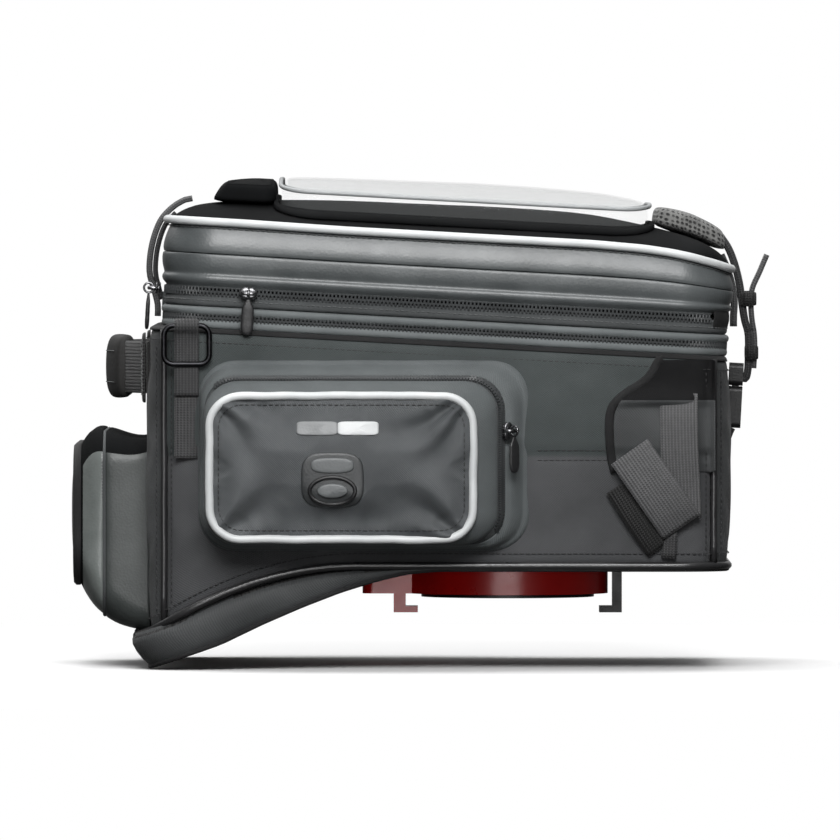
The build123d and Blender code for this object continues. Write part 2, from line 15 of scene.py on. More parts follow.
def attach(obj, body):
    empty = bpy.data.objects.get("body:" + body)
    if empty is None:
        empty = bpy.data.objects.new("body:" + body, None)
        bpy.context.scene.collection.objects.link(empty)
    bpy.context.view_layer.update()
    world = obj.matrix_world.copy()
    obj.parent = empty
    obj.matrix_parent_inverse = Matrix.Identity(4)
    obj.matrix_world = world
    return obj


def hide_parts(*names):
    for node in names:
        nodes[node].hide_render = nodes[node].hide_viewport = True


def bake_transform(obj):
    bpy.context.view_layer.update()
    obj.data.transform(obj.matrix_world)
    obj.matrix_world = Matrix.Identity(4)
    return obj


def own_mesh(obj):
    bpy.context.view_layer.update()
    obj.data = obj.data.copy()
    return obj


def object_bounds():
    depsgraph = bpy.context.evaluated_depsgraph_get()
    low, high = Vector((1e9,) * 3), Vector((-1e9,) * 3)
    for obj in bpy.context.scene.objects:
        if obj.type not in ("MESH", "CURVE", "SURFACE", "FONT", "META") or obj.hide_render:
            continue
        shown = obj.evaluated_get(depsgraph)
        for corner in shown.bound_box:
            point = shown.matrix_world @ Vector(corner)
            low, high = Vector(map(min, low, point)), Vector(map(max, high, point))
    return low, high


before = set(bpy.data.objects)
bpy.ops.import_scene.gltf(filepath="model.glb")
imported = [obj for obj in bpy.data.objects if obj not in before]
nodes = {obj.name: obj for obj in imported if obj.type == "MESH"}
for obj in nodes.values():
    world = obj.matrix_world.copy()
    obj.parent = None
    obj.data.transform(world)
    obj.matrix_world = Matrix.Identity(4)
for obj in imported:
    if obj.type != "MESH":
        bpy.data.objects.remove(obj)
cad_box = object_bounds()

# ---------------------------------------------------------------- driving dimensions, in millimetres
M = 0.001
REAR_X, FRONT_X, HALF_W, CORNER_R = -205.0, 125.0, 140.0, 28.0
TOP_REAR_X, TOP_HALF_W, TOP_R = -199.0, 136.0, 30.0
SEAM_Z, TILT = 146.0, math.radians(3.15)
FLOOR_Z, REAR_LOW_Z = 20.5, -17.5
EXPAND_Z, MAIN_Z, LID_EDGE_Z = 7.0, 22.0, 27.0
PANEL_SEAM_Z = 83.5
PITCH = 2.2                     # of the zips' teeth
X_AXIS, Z_AXIS = Vector((1, 0, 0)), Vector((0, 0, 1))

UPPER = Matrix.Translation((0, 0, SEAM_Z)) @ Matrix.Rotation(TILT, 4, "Y")
LEVEL = Matrix.Identity(4)


# ---------------------------------------------------------------- materials
def linear(grey):
    """An sRGB value from 0 to 255 as linear light."""
    c = grey / 255
    return c / 12.92 if c <= 0.04045 else ((c + 0.055) / 1.055) ** 2.4


def colour(r, g, b):
    return (linear(r), linear(g), linear(b), 1.0)


class Nodes:
    """A small helper that adds and links shader nodes."""

    def __init__(self, name):
        self.material = bpy.data.materials.new(name)
        self.material.use_nodes = True
        self.tree = self.material.node_tree
        self.shader = self.tree.nodes["Principled BSDF"]

    def add(self, kind, **values):
        node = self.tree.nodes.new(kind)
        for key, value in values.items():
            setattr(node, key, value)
        return node

    def link(self, a, b):
        self.tree.links.new(a, b)

    def feed(self, socket, value):
        """Sets a socket to a number or a colour, or links it to another node's output."""
        if isinstance(value, (int, float, tuple)):
            socket.default_value = value
        elif value is not None:
            self.link(value, socket)

    def math(self, operation, *values):
        node = self.add("ShaderNodeMath", operation=operation)
        for socket, value in zip(node.inputs, values):
            self.feed(socket, value)
        return node.outputs[0]

    def times(self, a, b):
        return self.math("MULTIPLY", a, b)

    def plus(self, a, b):
        return self.math("ADD", a, b)

    def place(self):
        return self.add("ShaderNodeTexCoord").outputs["Object"]

    def uv_axes(self):
        axes = self.add("ShaderNodeSeparateXYZ")
        self.link(self.add("ShaderNodeUVMap").outputs[0], axes.inputs[0])
        return axes.outputs[0], axes.outputs[1]

    def noise(self, vector, scale, detail=3.0):
        node = self.add("ShaderNodeTexNoise")
        node.inputs["Scale"].default_value = scale
        node.inputs["Detail"].default_value = detail
        node.inputs["Roughness"].default_value = 0.55
        self.link(vector, node.inputs["Vector"])
        return node.outputs[0]

    def cells(self, vector, scale, randomness=1.0):
        node = self.add("ShaderNodeTexVoronoi")
        node.inputs["Scale"].default_value = scale
        node.inputs["Randomness"].default_value = randomness
        self.link(vector, node.inputs["Vector"])
        return node.outputs["Distance"]

    def blend_colour(self, factor, a, b):
        node = self.add("ShaderNodeMix", data_type="RGBA")
        self.link(factor, node.inputs[0])
        self.feed(node.inputs[6], a)
        self.feed(node.inputs[7], b)
        return node.outputs[2]

    def between(self, value, low, high):
        """value as a share of the way from low to high, clamped."""
        node = self.add("ShaderNodeMapRange")
        node.inputs["From Min"].default_value = low
        node.inputs["From Max"].default_value = high
        self.link(value, node.inputs["Value"])
        return node.outputs[0]

    def bump(self, height, distance, strength=1.0, under=None):
        node = self.add("ShaderNodeBump")
        node.inputs["Strength"].default_value = strength
        node.inputs["Distance"].default_value = distance
        self.link(height, node.inputs["Height"])
        self.feed(node.inputs["Normal"], under)
        return node.outputs[0]

    def finish(self, base, normal, rough, **settings):
        self.feed(self.shader.inputs["Base Color"], base)
        self.feed(self.shader.inputs["Normal"], normal)
        self.feed(self.shader.inputs["Roughness"], rough)
        for key, value in settings.items():
            self.shader.inputs[key.replace("_", " ")].default_value = value
        return self.material


# grain sets how much darker the weave's valleys are painted: painted shade between the threads.
def cloth_material(name, dark, light, pitch=1.5, rough=0.62, sheen=0.08, grain=0.22, gloss=0.35, lower=None):
    """Woven cloth. The mesh's UV map is in metres, so threads keep their real pitch.
    lower is a second pair of colours, for the cloth below the seam of the side panels."""
    n = Nodes(name)
    u, v = n.uv_axes()
    place = n.place()
    turn = 2 * math.pi / (pitch * M)
    plain = n.times(n.math("SINE", n.times(u, turn)), n.math("SINE", n.times(v, turn)))
    fine = n.math("SINE", n.times(u, turn * 4))
    height = n.plus(n.times(plain, 0.5), n.times(fine, 0.15))
    height = n.plus(height, n.times(n.noise(place, 900.0, 2.0), 0.7))
    wear = n.between(n.noise(place, 22.0, 5.0), 0.35, 0.75)
    base = n.blend_colour(wear, dark, light)
    if lower is not None:
        split = n.add("ShaderNodeSeparateXYZ")
        n.link(place, split.inputs[0])
        above = n.between(split.outputs[2], (PANEL_SEAM_Z - 1) * M, (PANEL_SEAM_Z + 1) * M)
        base = n.blend_colour(above, n.blend_colour(wear, *lower), base)
    # Painted shade: the colour darkens where the weave's height is low, in the valleys between the threads.
    painted_valley_shade = n.times(n.math("SUBTRACT", 1.0, n.between(plain, -1.0, 1.0)), grain)
    darker = n.blend_colour(painted_valley_shade, base, (0.004, 0.004, 0.004, 1))
    soft = n.bump(n.noise(place, 60.0, 4.0), 0.0012, 0.35)
    normal = n.bump(height, 0.00022, 0.8, soft)
    return n.finish(darker, normal, rough, Sheen_Weight=sheen, Sheen_Roughness=0.45, Specular_IOR_Level=gloss)


def webbing_material(name, dark, light, pitch=1.9):
    """Ribbed webbing: chevron-like ribs run along it and its picks run across."""
    n = Nodes(name)
    u, v = n.uv_axes()
    turn = 2 * math.pi / (pitch * M)
    across = n.math("SINE", n.times(u, turn))
    picks = n.math("SINE", n.plus(n.times(v, turn * 1.3), n.times(across, 1.1)))
    ribs = n.plus(n.times(across, 0.55), n.times(picks, 0.35))
    # Painted shade and highlight: the colour follows the ribs' height, darker in the grooves and lighter on
    # the ribs.
    share = n.between(n.plus(ribs, n.noise(n.place(), 300.0, 2.0)), -0.6, 1.4)
    base = n.blend_colour(share, dark, light)
    normal = n.bump(ribs, 0.0003, 0.9)
    return n.finish(base, normal, 0.62, Sheen_Weight=0.2, Sheen_Roughness=0.4, Specular_IOR_Level=0.4)


def moulded_material(name, dark, light, rough=0.45, grain_scale=700.0, depth=0.00012, coat=0.0,
                     coat_rough=0.2):
    """Moulded skin, rubber or plastic with a fine grain and slight mottling."""
    n = Nodes(name)
    place = n.place()
    base = n.blend_colour(n.between(n.noise(place, 35.0, 4.0), 0.3, 0.75), dark, light)
    normal = n.bump(n.cells(place, grain_scale), depth, 0.7)
    varied = n.plus(n.times(n.noise(place, 90.0, 3.0), 0.16), rough - 0.08)
    return n.finish(base, normal, varied, Coat_Weight=coat, Coat_Roughness=coat_rough)


def reflective_material(name):
    """Silver reflective piping: tiny glass beads on a grey carrier."""
    n = Nodes(name)
    place = n.place()
    dirt = n.between(n.noise(place, 45.0, 4.0), 0.3, 0.8)
    base = n.blend_colour(dirt, colour(198, 201, 202), colour(224, 226, 226))
    normal = n.bump(n.cells(place, 2600.0), 0.00008, 0.6)
    return n.finish(base, normal, 0.42, Sheen_Weight=0.15, Specular_IOR_Level=0.6)


def window_material(name, haze_share):
    """Clear soft PVC with a faint haze and soft waves."""
    n = Nodes(name)
    place = n.place()
    haze = n.between(n.noise(place, 60.0, 4.0), 0.4, 0.9)
    normal = n.bump(n.noise(place, 14.0, 2.0), 0.003, 0.35)
    rough = n.plus(n.times(haze, 0.06), 0.05)
    return n.finish(colour(206, 210, 210), normal, rough, Alpha=haze_share, Specular_IOR_Level=0.35)


def metal_material(name, tone, rough):
    """Worn metal with lighter scuffs."""
    n = Nodes(name)
    place = n.place()
    scuffs = n.between(n.noise(place, 260.0, 5.0), 0.45, 0.7)
    base = n.blend_colour(scuffs, tone, tuple(min(1.0, c * 1.7) for c in tone[:3]) + (1.0,))
    normal = n.bump(n.noise(place, 800.0, 2.0), 0.00005, 0.6)
    return n.finish(base, normal, n.plus(n.times(scuffs, 0.14), rough), Metallic=1.0)


def mesh_fabric_material():
    """Spacer mesh with small round cells."""
    n = Nodes("spacer_mesh")
    hole = n.between(n.cells(n.add("ShaderNodeUVMap").outputs[0], 380.0, 0.25), 0.18, 0.42)
    mottle = n.between(n.noise(n.place(), 90.0, 4.0), 0.3, 0.7)
    net = n.blend_colour(mottle, colour(84, 84, 83), colour(134, 134, 132))
    base = n.blend_colour(hole, colour(14, 14, 14), net)
    return n.finish(base, n.bump(hole, 0.0009, 0.9), 0.7, Sheen_Weight=0.2)


def rubber_dots_material():
    """Non-slip rubberised base with raised dots."""
    n = Nodes("non_slip")
    distance = n.cells(n.add("ShaderNodeUVMap").outputs[0], 210.0, 0.0)
    dots = n.math("SUBTRACT", 1.0, n.between(distance, 0.22, 0.36))
    mottle = n.between(n.noise(n.place(), 40.0, 4.0), 0.3, 0.8)
    base = n.blend_colour(mottle, colour(30, 30, 30), colour(46, 46, 46))
    return n.finish(base, n.bump(dots, 0.0008, 0.8), 0.6)


FABRIC = cloth_material("shell_cloth", colour(58, 64, 64), colour(74, 80, 80),
                        lower=(colour(70, 71, 73), colour(86, 87, 89)))
GUSSET = cloth_material("gusset_cloth", colour(88, 93, 94), colour(108, 113, 114), rough=0.5)
PANEL = cloth_material("panel_cloth", colour(62, 64, 65), colour(80, 82, 83), rough=0.5)
# Black cloth, painted darker than its own tone: painted shade for the shadow under the map window's overhang.
SHADED_BLACK_CLOTH = cloth_material("black_cloth_painted_shade", colour(15, 16, 17), colour(23, 24, 25), pitch=1.2, rough=0.85,
                            sheen=0.0, gloss=0.08)
# Near-black cloth for the loop flap's upper part: partly a dark corner gusset, partly painted shade where the
# flap tucks in under the rim.
HOOD_CLOTH_AND_SHADE = cloth_material("hood_cloth_and_painted_shade", colour(22, 22, 23), colour(32, 32, 33), pitch=1.2, sheen=0.0,
                            gloss=0.15)
LINING = cloth_material("lining_cloth", colour(96, 98, 100), colour(116, 118, 120), pitch=0.9, rough=0.6)
BINDING = cloth_material("binding_tape", colour(24, 24, 25), colour(38, 38, 39), pitch=1.0, sheen=0.04)
ROLL = cloth_material("rolled_band", colour(104, 109, 110), colour(126, 131, 132), pitch=1.1, rough=0.4,
                      grain=0.1)
TAPE = cloth_material("zip_tape", colour(74, 77, 78), colour(92, 95, 96), pitch=0.8, rough=0.5, sheen=0.04)
BELLOWS = cloth_material("bellows_cloth", colour(24, 24, 25), colour(36, 36, 37), pitch=0.8)
WEBBING = webbing_material("webbing", colour(62, 62, 63), colour(98, 98, 99))
DARK_WEBBING = webbing_material("dark_webbing", colour(40, 40, 41), colour(70, 70, 71))
BLACK_WEBBING = webbing_material("black_webbing", colour(24, 24, 24), colour(52, 52, 52))
# Near-black webbing that stands in as painted shadow under the slanted loop band.
PAINTED_SHADOW_WEBBING = webbing_material("painted_shadow_webbing", colour(8, 8, 8), colour(22, 22, 22))
SKIN = moulded_material("lid_skin", colour(76, 80, 81), colour(98, 102, 103), rough=0.4, coat=0.35,
                        coat_rough=0.36)
# A slightly darker copy of the lid skin for the wall's lower band: painted shade, as the lower band catches
# less light from above.
SKIN_SHADED = moulded_material("lid_skin_shaded", colour(72, 76, 77), colour(94, 98, 99), rough=0.4, coat=0.3,
                             coat_rough=0.36)
EVA = moulded_material("pocket_skin", colour(52, 56, 55), colour(70, 74, 73), rough=0.45, coat=0.1)
# A much lighter copy of the pocket skin for the rear pocket cover: painted highlight where its curved sides
# face the light.
EVA_LIT = moulded_material("pocket_cover_skin_lit", colour(100, 105, 103), colour(128, 133, 131), rough=0.38,
                             coat=0.2)
PIPING = moulded_material("body_piping", colour(34, 34, 35), colour(48, 48, 49), rough=0.3, coat=0.3)
RUBBER = moulded_material("badge_rubber", colour(26, 26, 27), colour(42, 42, 43), rough=0.42)
EDGE_GREY = moulded_material("window_edge", colour(150, 153, 154), colour(168, 170, 171), rough=0.35)
LABEL = moulded_material("label_grey", colour(128, 130, 131), colour(148, 150, 151), rough=0.5)
GRIP_RUBBER = moulded_material("grip_foam", colour(28, 28, 28), colour(44, 43, 42), rough=0.75,
                               grain_scale=420.0)
NYLON = moulded_material("black_nylon", colour(20, 20, 21), colour(32, 32, 33), rough=0.4)
RED = moulded_material("red_gloss", colour(206, 10, 9), colour(226, 20, 16), rough=0.3, depth=0.00002,
                       coat=0.25)
TEETH = moulded_material("zip_teeth", colour(58, 60, 61), colour(76, 78, 79), rough=0.34, depth=0.00002)
THREAD = moulded_material("thread", colour(86, 88, 88), colour(112, 114, 114), rough=0.6, depth=0.00003)
DARK_THREAD = moulded_material("dark_thread", colour(38, 38, 39), colour(54, 54, 55), rough=0.6,
                               depth=0.00003)
LABEL_DARK = moulded_material("badge_grey", colour(88, 91, 92), colour(108, 111, 112), rough=0.4)
PLATE = moulded_material("badge_plate", colour(48, 50, 51), colour(64, 66, 67), rough=0.4)
COVER_CLOTH = cloth_material("cover_cloth", colour(76, 79, 81), colour(96, 99, 101), pitch=1.3, rough=0.36,
                             grain=0.14)
SILVER = reflective_material("reflective")
WINDOW = window_material("clear_pvc", 0.14)
WINDOW_SIDE = window_material("clear_pvc_side", 0.035)
MESH_CLOTH = mesh_fabric_material()
NON_SLIP = rubber_dots_material()
BLACK_METAL = metal_material("black_metal", colour(42, 42, 44), 0.3)
SLIDER_METAL = metal_material("slider_metal", colour(120, 120, 122), 0.26)
STEEL = metal_material("spring_steel", colour(170, 170, 172), 0.22)
ALUMINIUM = metal_material("aluminium", colour(190, 191, 192), 0.34)


# ---------------------------------------------------------------- mesh helpers
def new_object(name, mesh, *materials):
    made = bpy.data.objects.new(name, mesh)
    bpy.context.scene.collection.objects.link(made)
    for material in materials:
        mesh.materials.append(material)
    return made


def fix_normals(piece):
    """Turns the faces of each closed part outwards."""
    bm = bmesh.new()
    bm.from_mesh(piece.data)
    bmesh.ops.recalc_face_normals(bm, faces=bm.faces)
    bm.to_mesh(piece.data)
    bm.free()
    return piece


def solid(name, verts, faces, material):
    """A closed mesh from points in metres."""
    mesh = bpy.data.meshes.new(name)
    mesh.from_pydata(verts, [], faces)
    mesh.uv_layers.new(name="UVMap")
    return fix_normals(new_object(name, mesh, material))


def grid(name, rows, material, close_u=False, close_v=False, flip=False, cap=False):
    """A mesh from rows of points in millimetres, with a UV map in metres along and across the rows.
    cap closes the first and the last row, and cap="end" only the last."""
    n, m = len(rows[0]), len(rows)
    verts = [Vector(p) * M for row in rows for p in row]
    mesh = bpy.data.meshes.new(name)
    faces, uvs = [], []

    def run(points):
        total, out = 0.0, [0.0]
        for a, b in zip(points, points[1:]):
            total += (Vector(b) - Vector(a)).length * M
            out.append(total)
        return out

    middle = rows[m // 2]
    us = run(list(middle) + [middle[0]])
    vs = run([row[0] for row in rows] + [rows[0][0]])
    for j in range(m if close_v else m - 1):
        for i in range(n if close_u else n - 1):
            i1, j1 = (i + 1) % n, (j + 1) % m
            corner = [(i, j), (i + 1, j), (i + 1, j + 1), (i, j + 1)]
            face = [j * n + i, j * n + i1, j1 * n + i1, j1 * n + i]
            if flip:
                corner.reverse()
                face.reverse()
            faces.append(face)
            uvs.extend((us[a], vs[b]) for a, b in corner)
    if cap:
        for j, back in ((0, not flip), (m - 1, flip))[1 if cap == "end" else 0:]:
            face = [j * n + i for i in range(n)]
            if back:
                face.reverse()
            faces.append(face)
            uvs.extend((verts[k].x + verts[k].y, verts[k].z) for k in face)
    mesh.from_pydata(verts, [], faces)
    layer = mesh.uv_layers.new(name="UVMap")
    for loop, uv in zip(layer.data, uvs):
        loop.uv = uv
    mesh.polygons.foreach_set("use_smooth", [True] * len(mesh.polygons))
    return new_object(name, mesh, material)


def repaint(piece, material, columns, inside):
    """Gives a second material to the faces of a grid whose column and row pass the test."""
    piece.data.materials.append(material)
    for polygon in piece.data.polygons:
        if inside(polygon.index % columns, polygon.index // columns):
            polygon.material_index = 1


def joined(name, pieces):
    """Several objects as one mesh object."""
    bpy.ops.object.select_all(action="DESELECT")
    for piece in pieces:
        piece.select_set(True)
    bpy.context.view_layer.objects.active = pieces[0]
    bpy.ops.object.join()
    pieces[0].name = name
    pieces[0].data.name = name
    return pieces[0]


def thick(piece, millimetres, inner=None):
    """Turns a sheet's face outwards and gives it thickness; inner is a second material for its back."""
    mesh = piece.data
    middle = sum((f.center for f in mesh.polygons), Vector()) / len(mesh.polygons)
    inside = middle.lerp(Vector((-0.04, 0, 0.1)), 0.5)      # halfway to the middle of the bag
    if sum(f.area * f.normal.dot(f.center - inside) for f in mesh.polygons) < 0:
        mesh.flip_normals()
    modifier = piece.modifiers.new("thickness", "SOLIDIFY")
    modifier.thickness = millimetres * M
    modifier.offset = -1.0
    if inner is not None:
        piece.data.materials.append(inner)
        modifier.material_offset = 9      # past the last slot, so it takes the last one
    return piece


def smooth(piece, levels=1):
    modifier = piece.modifiers.new("smooth", "SUBSURF")
    modifier.levels = levels
    modifier.render_levels = levels
    return piece


def spline(points, step=3.0, closed=False):
    """Points about step apart on a Catmull-Rom curve through the given points."""
    pts = [Vector(p) for p in points]
    count = len(pts)
    out = []
    for k in range(count if closed else count - 1):
        if closed:
            a, b, c, d = (pts[(k + i - 1) % count] for i in range(4))
        else:
            b, c = pts[k], pts[k + 1]
            a = pts[k - 1] if k else b * 2 - c
            d = pts[k + 2] if k + 2 < count else c * 2 - b
        parts = max(1, round((c - b).length / step))
        for i in range(parts):
            t = i / parts
            out.append(0.5 * (2 * b + (c - a) * t + (2 * a - 5 * b + 4 * c - d) * t * t
                              + (3 * b - a - 3 * c + d) * t ** 3))
    if not closed:
        out.append(pts[-1])
    return out


def sweep(name, path, out, section, material, closed=False, cap=True):
    """Carries a closed section along a path.

    section holds (side, out) pairs; out is one direction or one per point."""
    count = len(path)
    rows = []
    for k, p in enumerate(path):
        before = path[k - 1] if k or closed else p
        after = path[(k + 1) % count] if k + 1 < count or closed else p
        along = (after - before).normalized()
        up = Vector(out[k] if isinstance(out, list) else out)
        side = along.cross(up).normalized()
        up = side.cross(along).normalized()
        rows.append([p + side * a + up * b for a, b in section])
    return grid(name, rows, material, close_u=True, close_v=closed, flip=True, cap=cap and not closed)


def round_section(radius, sides=10):
    return [(radius * math.cos(2 * math.pi * k / sides), radius * math.sin(2 * math.pi * k / sides))
            for k in range(sides)]


def strap_section(width, thickness, crown=0.25):
    """Webbing's section: flat faces, soft edges."""
    w, t = width / 2, thickness / 2
    edge = min(0.9, w * 0.3)
    top = [(-w + edge, t), (-w * 0.5, t + crown * 0.5), (0, t + crown * 0.6), (w * 0.5, t + crown * 0.5),
           (w - edge, t)]
    ring = [*top, (w, t * 0.35), (w, -t * 0.35), *[(a, -b) for a, b in reversed(top)], (-w, -t * 0.35),
            (-w, t * 0.35)]
    return ring[::-1]


def webbing(name, points, out, width, thickness=1.9, material=WEBBING):
    return sweep(name, spline(points), out, strap_section(width, thickness), material)


def beside(path, axis):
    """Directions square to a path and to an axis, one for each point of the path."""
    return [axis.cross((b - a).normalized()) for a, b in zip([path[0], *path[:-1]], [*path[1:], path[-1]])]


def stitches(name, paths, outs, material=THREAD, pitch=3.4, length=2.5, radius=0.32):
    """Rows of thread: each stitch is a small rounded bar on the surface, dipping in at both ends."""
    verts, faces = [], []
    for path, out in zip(paths, outs):
        points = [Vector(p) for p in path]
        runs = [0.0]
        for a, b in zip(points, points[1:]):
            runs.append(runs[-1] + (b - a).length)
        k = 0
        for number in range(int((runs[-1] - length) / pitch) + 1):
            start = number * pitch + (pitch - length) / 2
            ends = []
            for target in (start, start + length):
                while k + 2 < len(points) and runs[k + 1] < target:
                    k += 1
                share = (target - runs[k]) / max(1e-6, runs[k + 1] - runs[k])
                ends.append(points[k].lerp(points[k + 1], share))
            a, b = ends
            up = Vector(out[min(k, len(out) - 1)] if isinstance(out, list) else out).normalized()
            along = (b - a).normalized()
            side = along.cross(up).normalized()
            first = len(verts)
            for share, lift, size in ((0.0, -0.35, 0.5), (0.22, 0.22, 1.0), (0.78, 0.22, 1.0),
                                      (1.0, -0.35, 0.5)):
                centre = a.lerp(b, share) + up * (lift * radius + radius * 0.4)
                for q in range(5):
                    angle = 2 * math.pi * q / 5
                    verts.append((centre + side * (radius * size * math.cos(angle))
                                  + up * (radius * size * math.sin(angle))) * M)
            for ring in range(3):
                for q in range(5):
                    r0, r1 = first + ring * 5, first + (ring + 1) * 5
                    faces.append([r0 + q, r0 + (q + 1) % 5, r1 + (q + 1) % 5, r1 + q])
            faces.append([first + q for q in reversed(range(5))])
            faces.append([first + 15 + q for q in range(5)])
    made = solid(name, verts, faces, material)
    made.data.polygons.foreach_set("use_smooth", [True] * len(made.data.polygons))
    return made


def ride(piece, body, slot, *replaced):
    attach(piece, body)
    if replaced:
        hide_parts(*replaced)
    return piece


def applied(piece):
    """The piece with its modifiers made permanent, as blending needs the final mesh."""
    depsgraph = bpy.context.evaluated_depsgraph_get()
    mesh = bpy.data.meshes.new_from_object(piece.evaluated_get(depsgraph))
    piece.modifiers.clear()
    piece.data = mesh
    return piece


# ---------------------------------------------------------------- outlines in plan
class Plan:
    """A rounded rectangle in plan. at(s) walks it counter-clockwise from the middle of the rear wall."""

    def __init__(self, x0, x1, half_w, radius):
        flat_y = half_w - radius
        straight = x1 - x0 - 2 * radius
        arc = math.pi * radius / 2
        self.runs = [
            ("line", (x0, 0), (0, -1), (-1, 0), flat_y),
            ("arc", (x0 + radius, -flat_y), math.pi, radius, arc),
            ("line", (x0 + radius, -half_w), (1, 0), (0, -1), straight),
            ("arc", (x1 - radius, -flat_y), 1.5 * math.pi, radius, arc),
            ("line", (x1, -flat_y), (0, 1), (1, 0), 2 * flat_y),
            ("arc", (x1 - radius, flat_y), 0.0, radius, arc),
            ("line", (x1 - radius, half_w), (-1, 0), (0, 1), straight),
            ("arc", (x0 + radius, flat_y), 0.5 * math.pi, radius, arc),
            ("line", (x0, flat_y), (0, -1), (-1, 0), flat_y),
        ]
        self.starts = [0.0]
        for run in self.runs:
            self.starts.append(self.starts[-1] + run[-1])
        self.length = self.starts[-1]
        self.corners = [self.starts[k] + arc / 2
                        for k in (1, 3, 5, 7)]   # rear right, front right, front left, rear left

    def at(self, s):
        s %= self.length
        k = max(i for i in range(9) if self.starts[i] <= s + 1e-9)
        run, t = self.runs[k], s - self.starts[k]
        if run[0] == "line":
            (x, y), (dx, dy), normal = run[1], run[2], run[3]
            return x + dx * t, y + dy * t, *normal
        (x, y), start, radius = run[1], run[2], run[3]
        angle = start + t / radius
        return x + radius * math.cos(angle), y + radius * math.sin(angle), math.cos(angle), math.sin(angle)

    def walk(self, s0, s1, step=4.0):
        """Distances from s0 to s1 that hit every corner's start and end, finer round the corners."""
        marks = sorted({s0, s1, *[b + lap * self.length for lap in (-1, 0, 1) for b in self.starts
                                  if s0 < b + lap * self.length < s1]})
        out = []
        for a, b in zip(marks, marks[1:]):
            if b - a < 1e-6:
                continue
            x, y, nx, ny = self.at((a + b) / 2)
            fine = step if abs(nx) > 0.999 or abs(ny) > 0.999 else step * 0.6
            parts = max(1, round((b - a) / fine))
            out.extend(a + (b - a) * i / parts for i in range(parts))
        return out + [s1]


BODY = Plan(REAR_X, FRONT_X, HALF_W, CORNER_R)
TOP = Plan(TOP_REAR_X, FRONT_X, TOP_HALF_W, TOP_R)


def around(plan, matrix, profile, s0=0.0, s1=None, step=4.0, height=None):
    """Rows of points round a plan, one row for each (offset, z) of the profile."""
    closed = s1 is None
    stops = plan.walk(s0, plan.length if closed else s1, step)
    if closed:
        stops = stops[:-1]
    rows = []
    for off, z in profile:
        row = []
        for s in stops:
            x, y, nx, ny = plan.at(s)
            level = height(x, z) if height else z
            row.append(matrix @ Vector((x + nx * off, y + ny * off, level)))
        rows.append(row)
    return rows


def along_plan(plan, stops, off, level, matrix=LEVEL):
    """A path round a plan and its outward directions. level gives the height from x and y."""
    path, out = [], []
    for s in stops:
        x, y, nx, ny = plan.at(s)
        path.append(matrix @ Vector((x + nx * off, y + ny * off, level(x, y))))
        out.append(Vector((nx, ny, 0)))
    return path, out


def between_points(table, x):
    """Height at x from a short table of (x, z), in straight lines."""
    if x <= table[0][0]:
        return table[0][1]
    for (a, za), (b, zb) in zip(table, table[1:]):
        if x <= b:
            return za + (zb - za) * (x - a) / (b - a)
    return table[-1][1]


def seam_height(x):
    return SEAM_Z - x * math.tan(TILT)


UNDERSIDE = [(REAR_X, REAR_LOW_Z), (-190, -8.6), (-175, -0.6), (-160, 6.0), (-145, 11.4), (-130, 15.4),
             (-116, 18.2),
             (-102, 19.9), (-90, FLOOR_Z)]


def underside(x):
    return between_points(UNDERSIDE, x)


# ---------------------------------------------------------------- body walls
def settle(piece, pinned, pressure, slack, frames, limit):
    """Lets a pinned sheet fill out under a little pressure, then keeps the shape as its mesh."""
    rest = [v.co.copy() for v in piece.data.vertices]
    group = piece.vertex_groups.new(name="pinned")
    group.add(pinned, 1.0, "REPLACE")
    cloth = piece.modifiers.new("cloth", "CLOTH")
    cloth.settings.quality = 6
    cloth.settings.mass = 0.25
    cloth.settings.tension_stiffness = 12
    cloth.settings.compression_stiffness = 12
    cloth.settings.shear_stiffness = 4
    cloth.settings.bending_stiffness = 0.8
    cloth.settings.vertex_group_mass = "pinned"
    cloth.settings.shrink_min = -slack
    cloth.settings.use_pressure = True
    cloth.settings.uniform_pressure_force = pressure
    cloth.settings.effector_weights.gravity = 0.0
    cloth.collision_settings.use_collision = False
    cloth.point_cache.frame_start = 1
    cloth.point_cache.frame_end = frames
    scene = bpy.context.scene
    for number in range(1, frames + 1):
        scene.frame_set(number)
    depsgraph = bpy.context.evaluated_depsgraph_get()
    settled = piece.evaluated_get(depsgraph).to_mesh()
    moved = [v.co.copy() for v in settled.vertices]
    piece.evaluated_get(depsgraph).to_mesh_clear()
    piece.modifiers.remove(cloth)
    scene.frame_set(1)
    for vertex, was, now in zip(piece.data.vertices, rest, moved):
        step = now - was
        if step.length > limit * M:
            step *= limit * M / step.length
        vertex.co = was + step
    piece.vertex_groups.clear()
    return piece


def rim_indices(columns, rows, deep=1):
    """Indices of the points of a grid's outermost rows and columns."""
    return [j * columns + i for j in range(rows) for i in range(columns)
            if min(i, columns - 1 - i) < deep or min(j, rows - 1 - j) < deep]


def surface(piece):
    """Gives a function that finds a sheet's outer Y at x, z and side, for trims that lie on it."""
    mesh = piece.data
    tree = BVHTree.FromPolygons([v.co / M for v in mesh.vertices], [tuple(f.vertices) for f in mesh.polygons])

    def outer(x, z, side):
        hit = tree.ray_cast(Vector((x, side * 400, z)), Vector((0, -side, 0)))[0]
        return hit.y if hit else side * HALF_W
    return outer


SKINS = {}


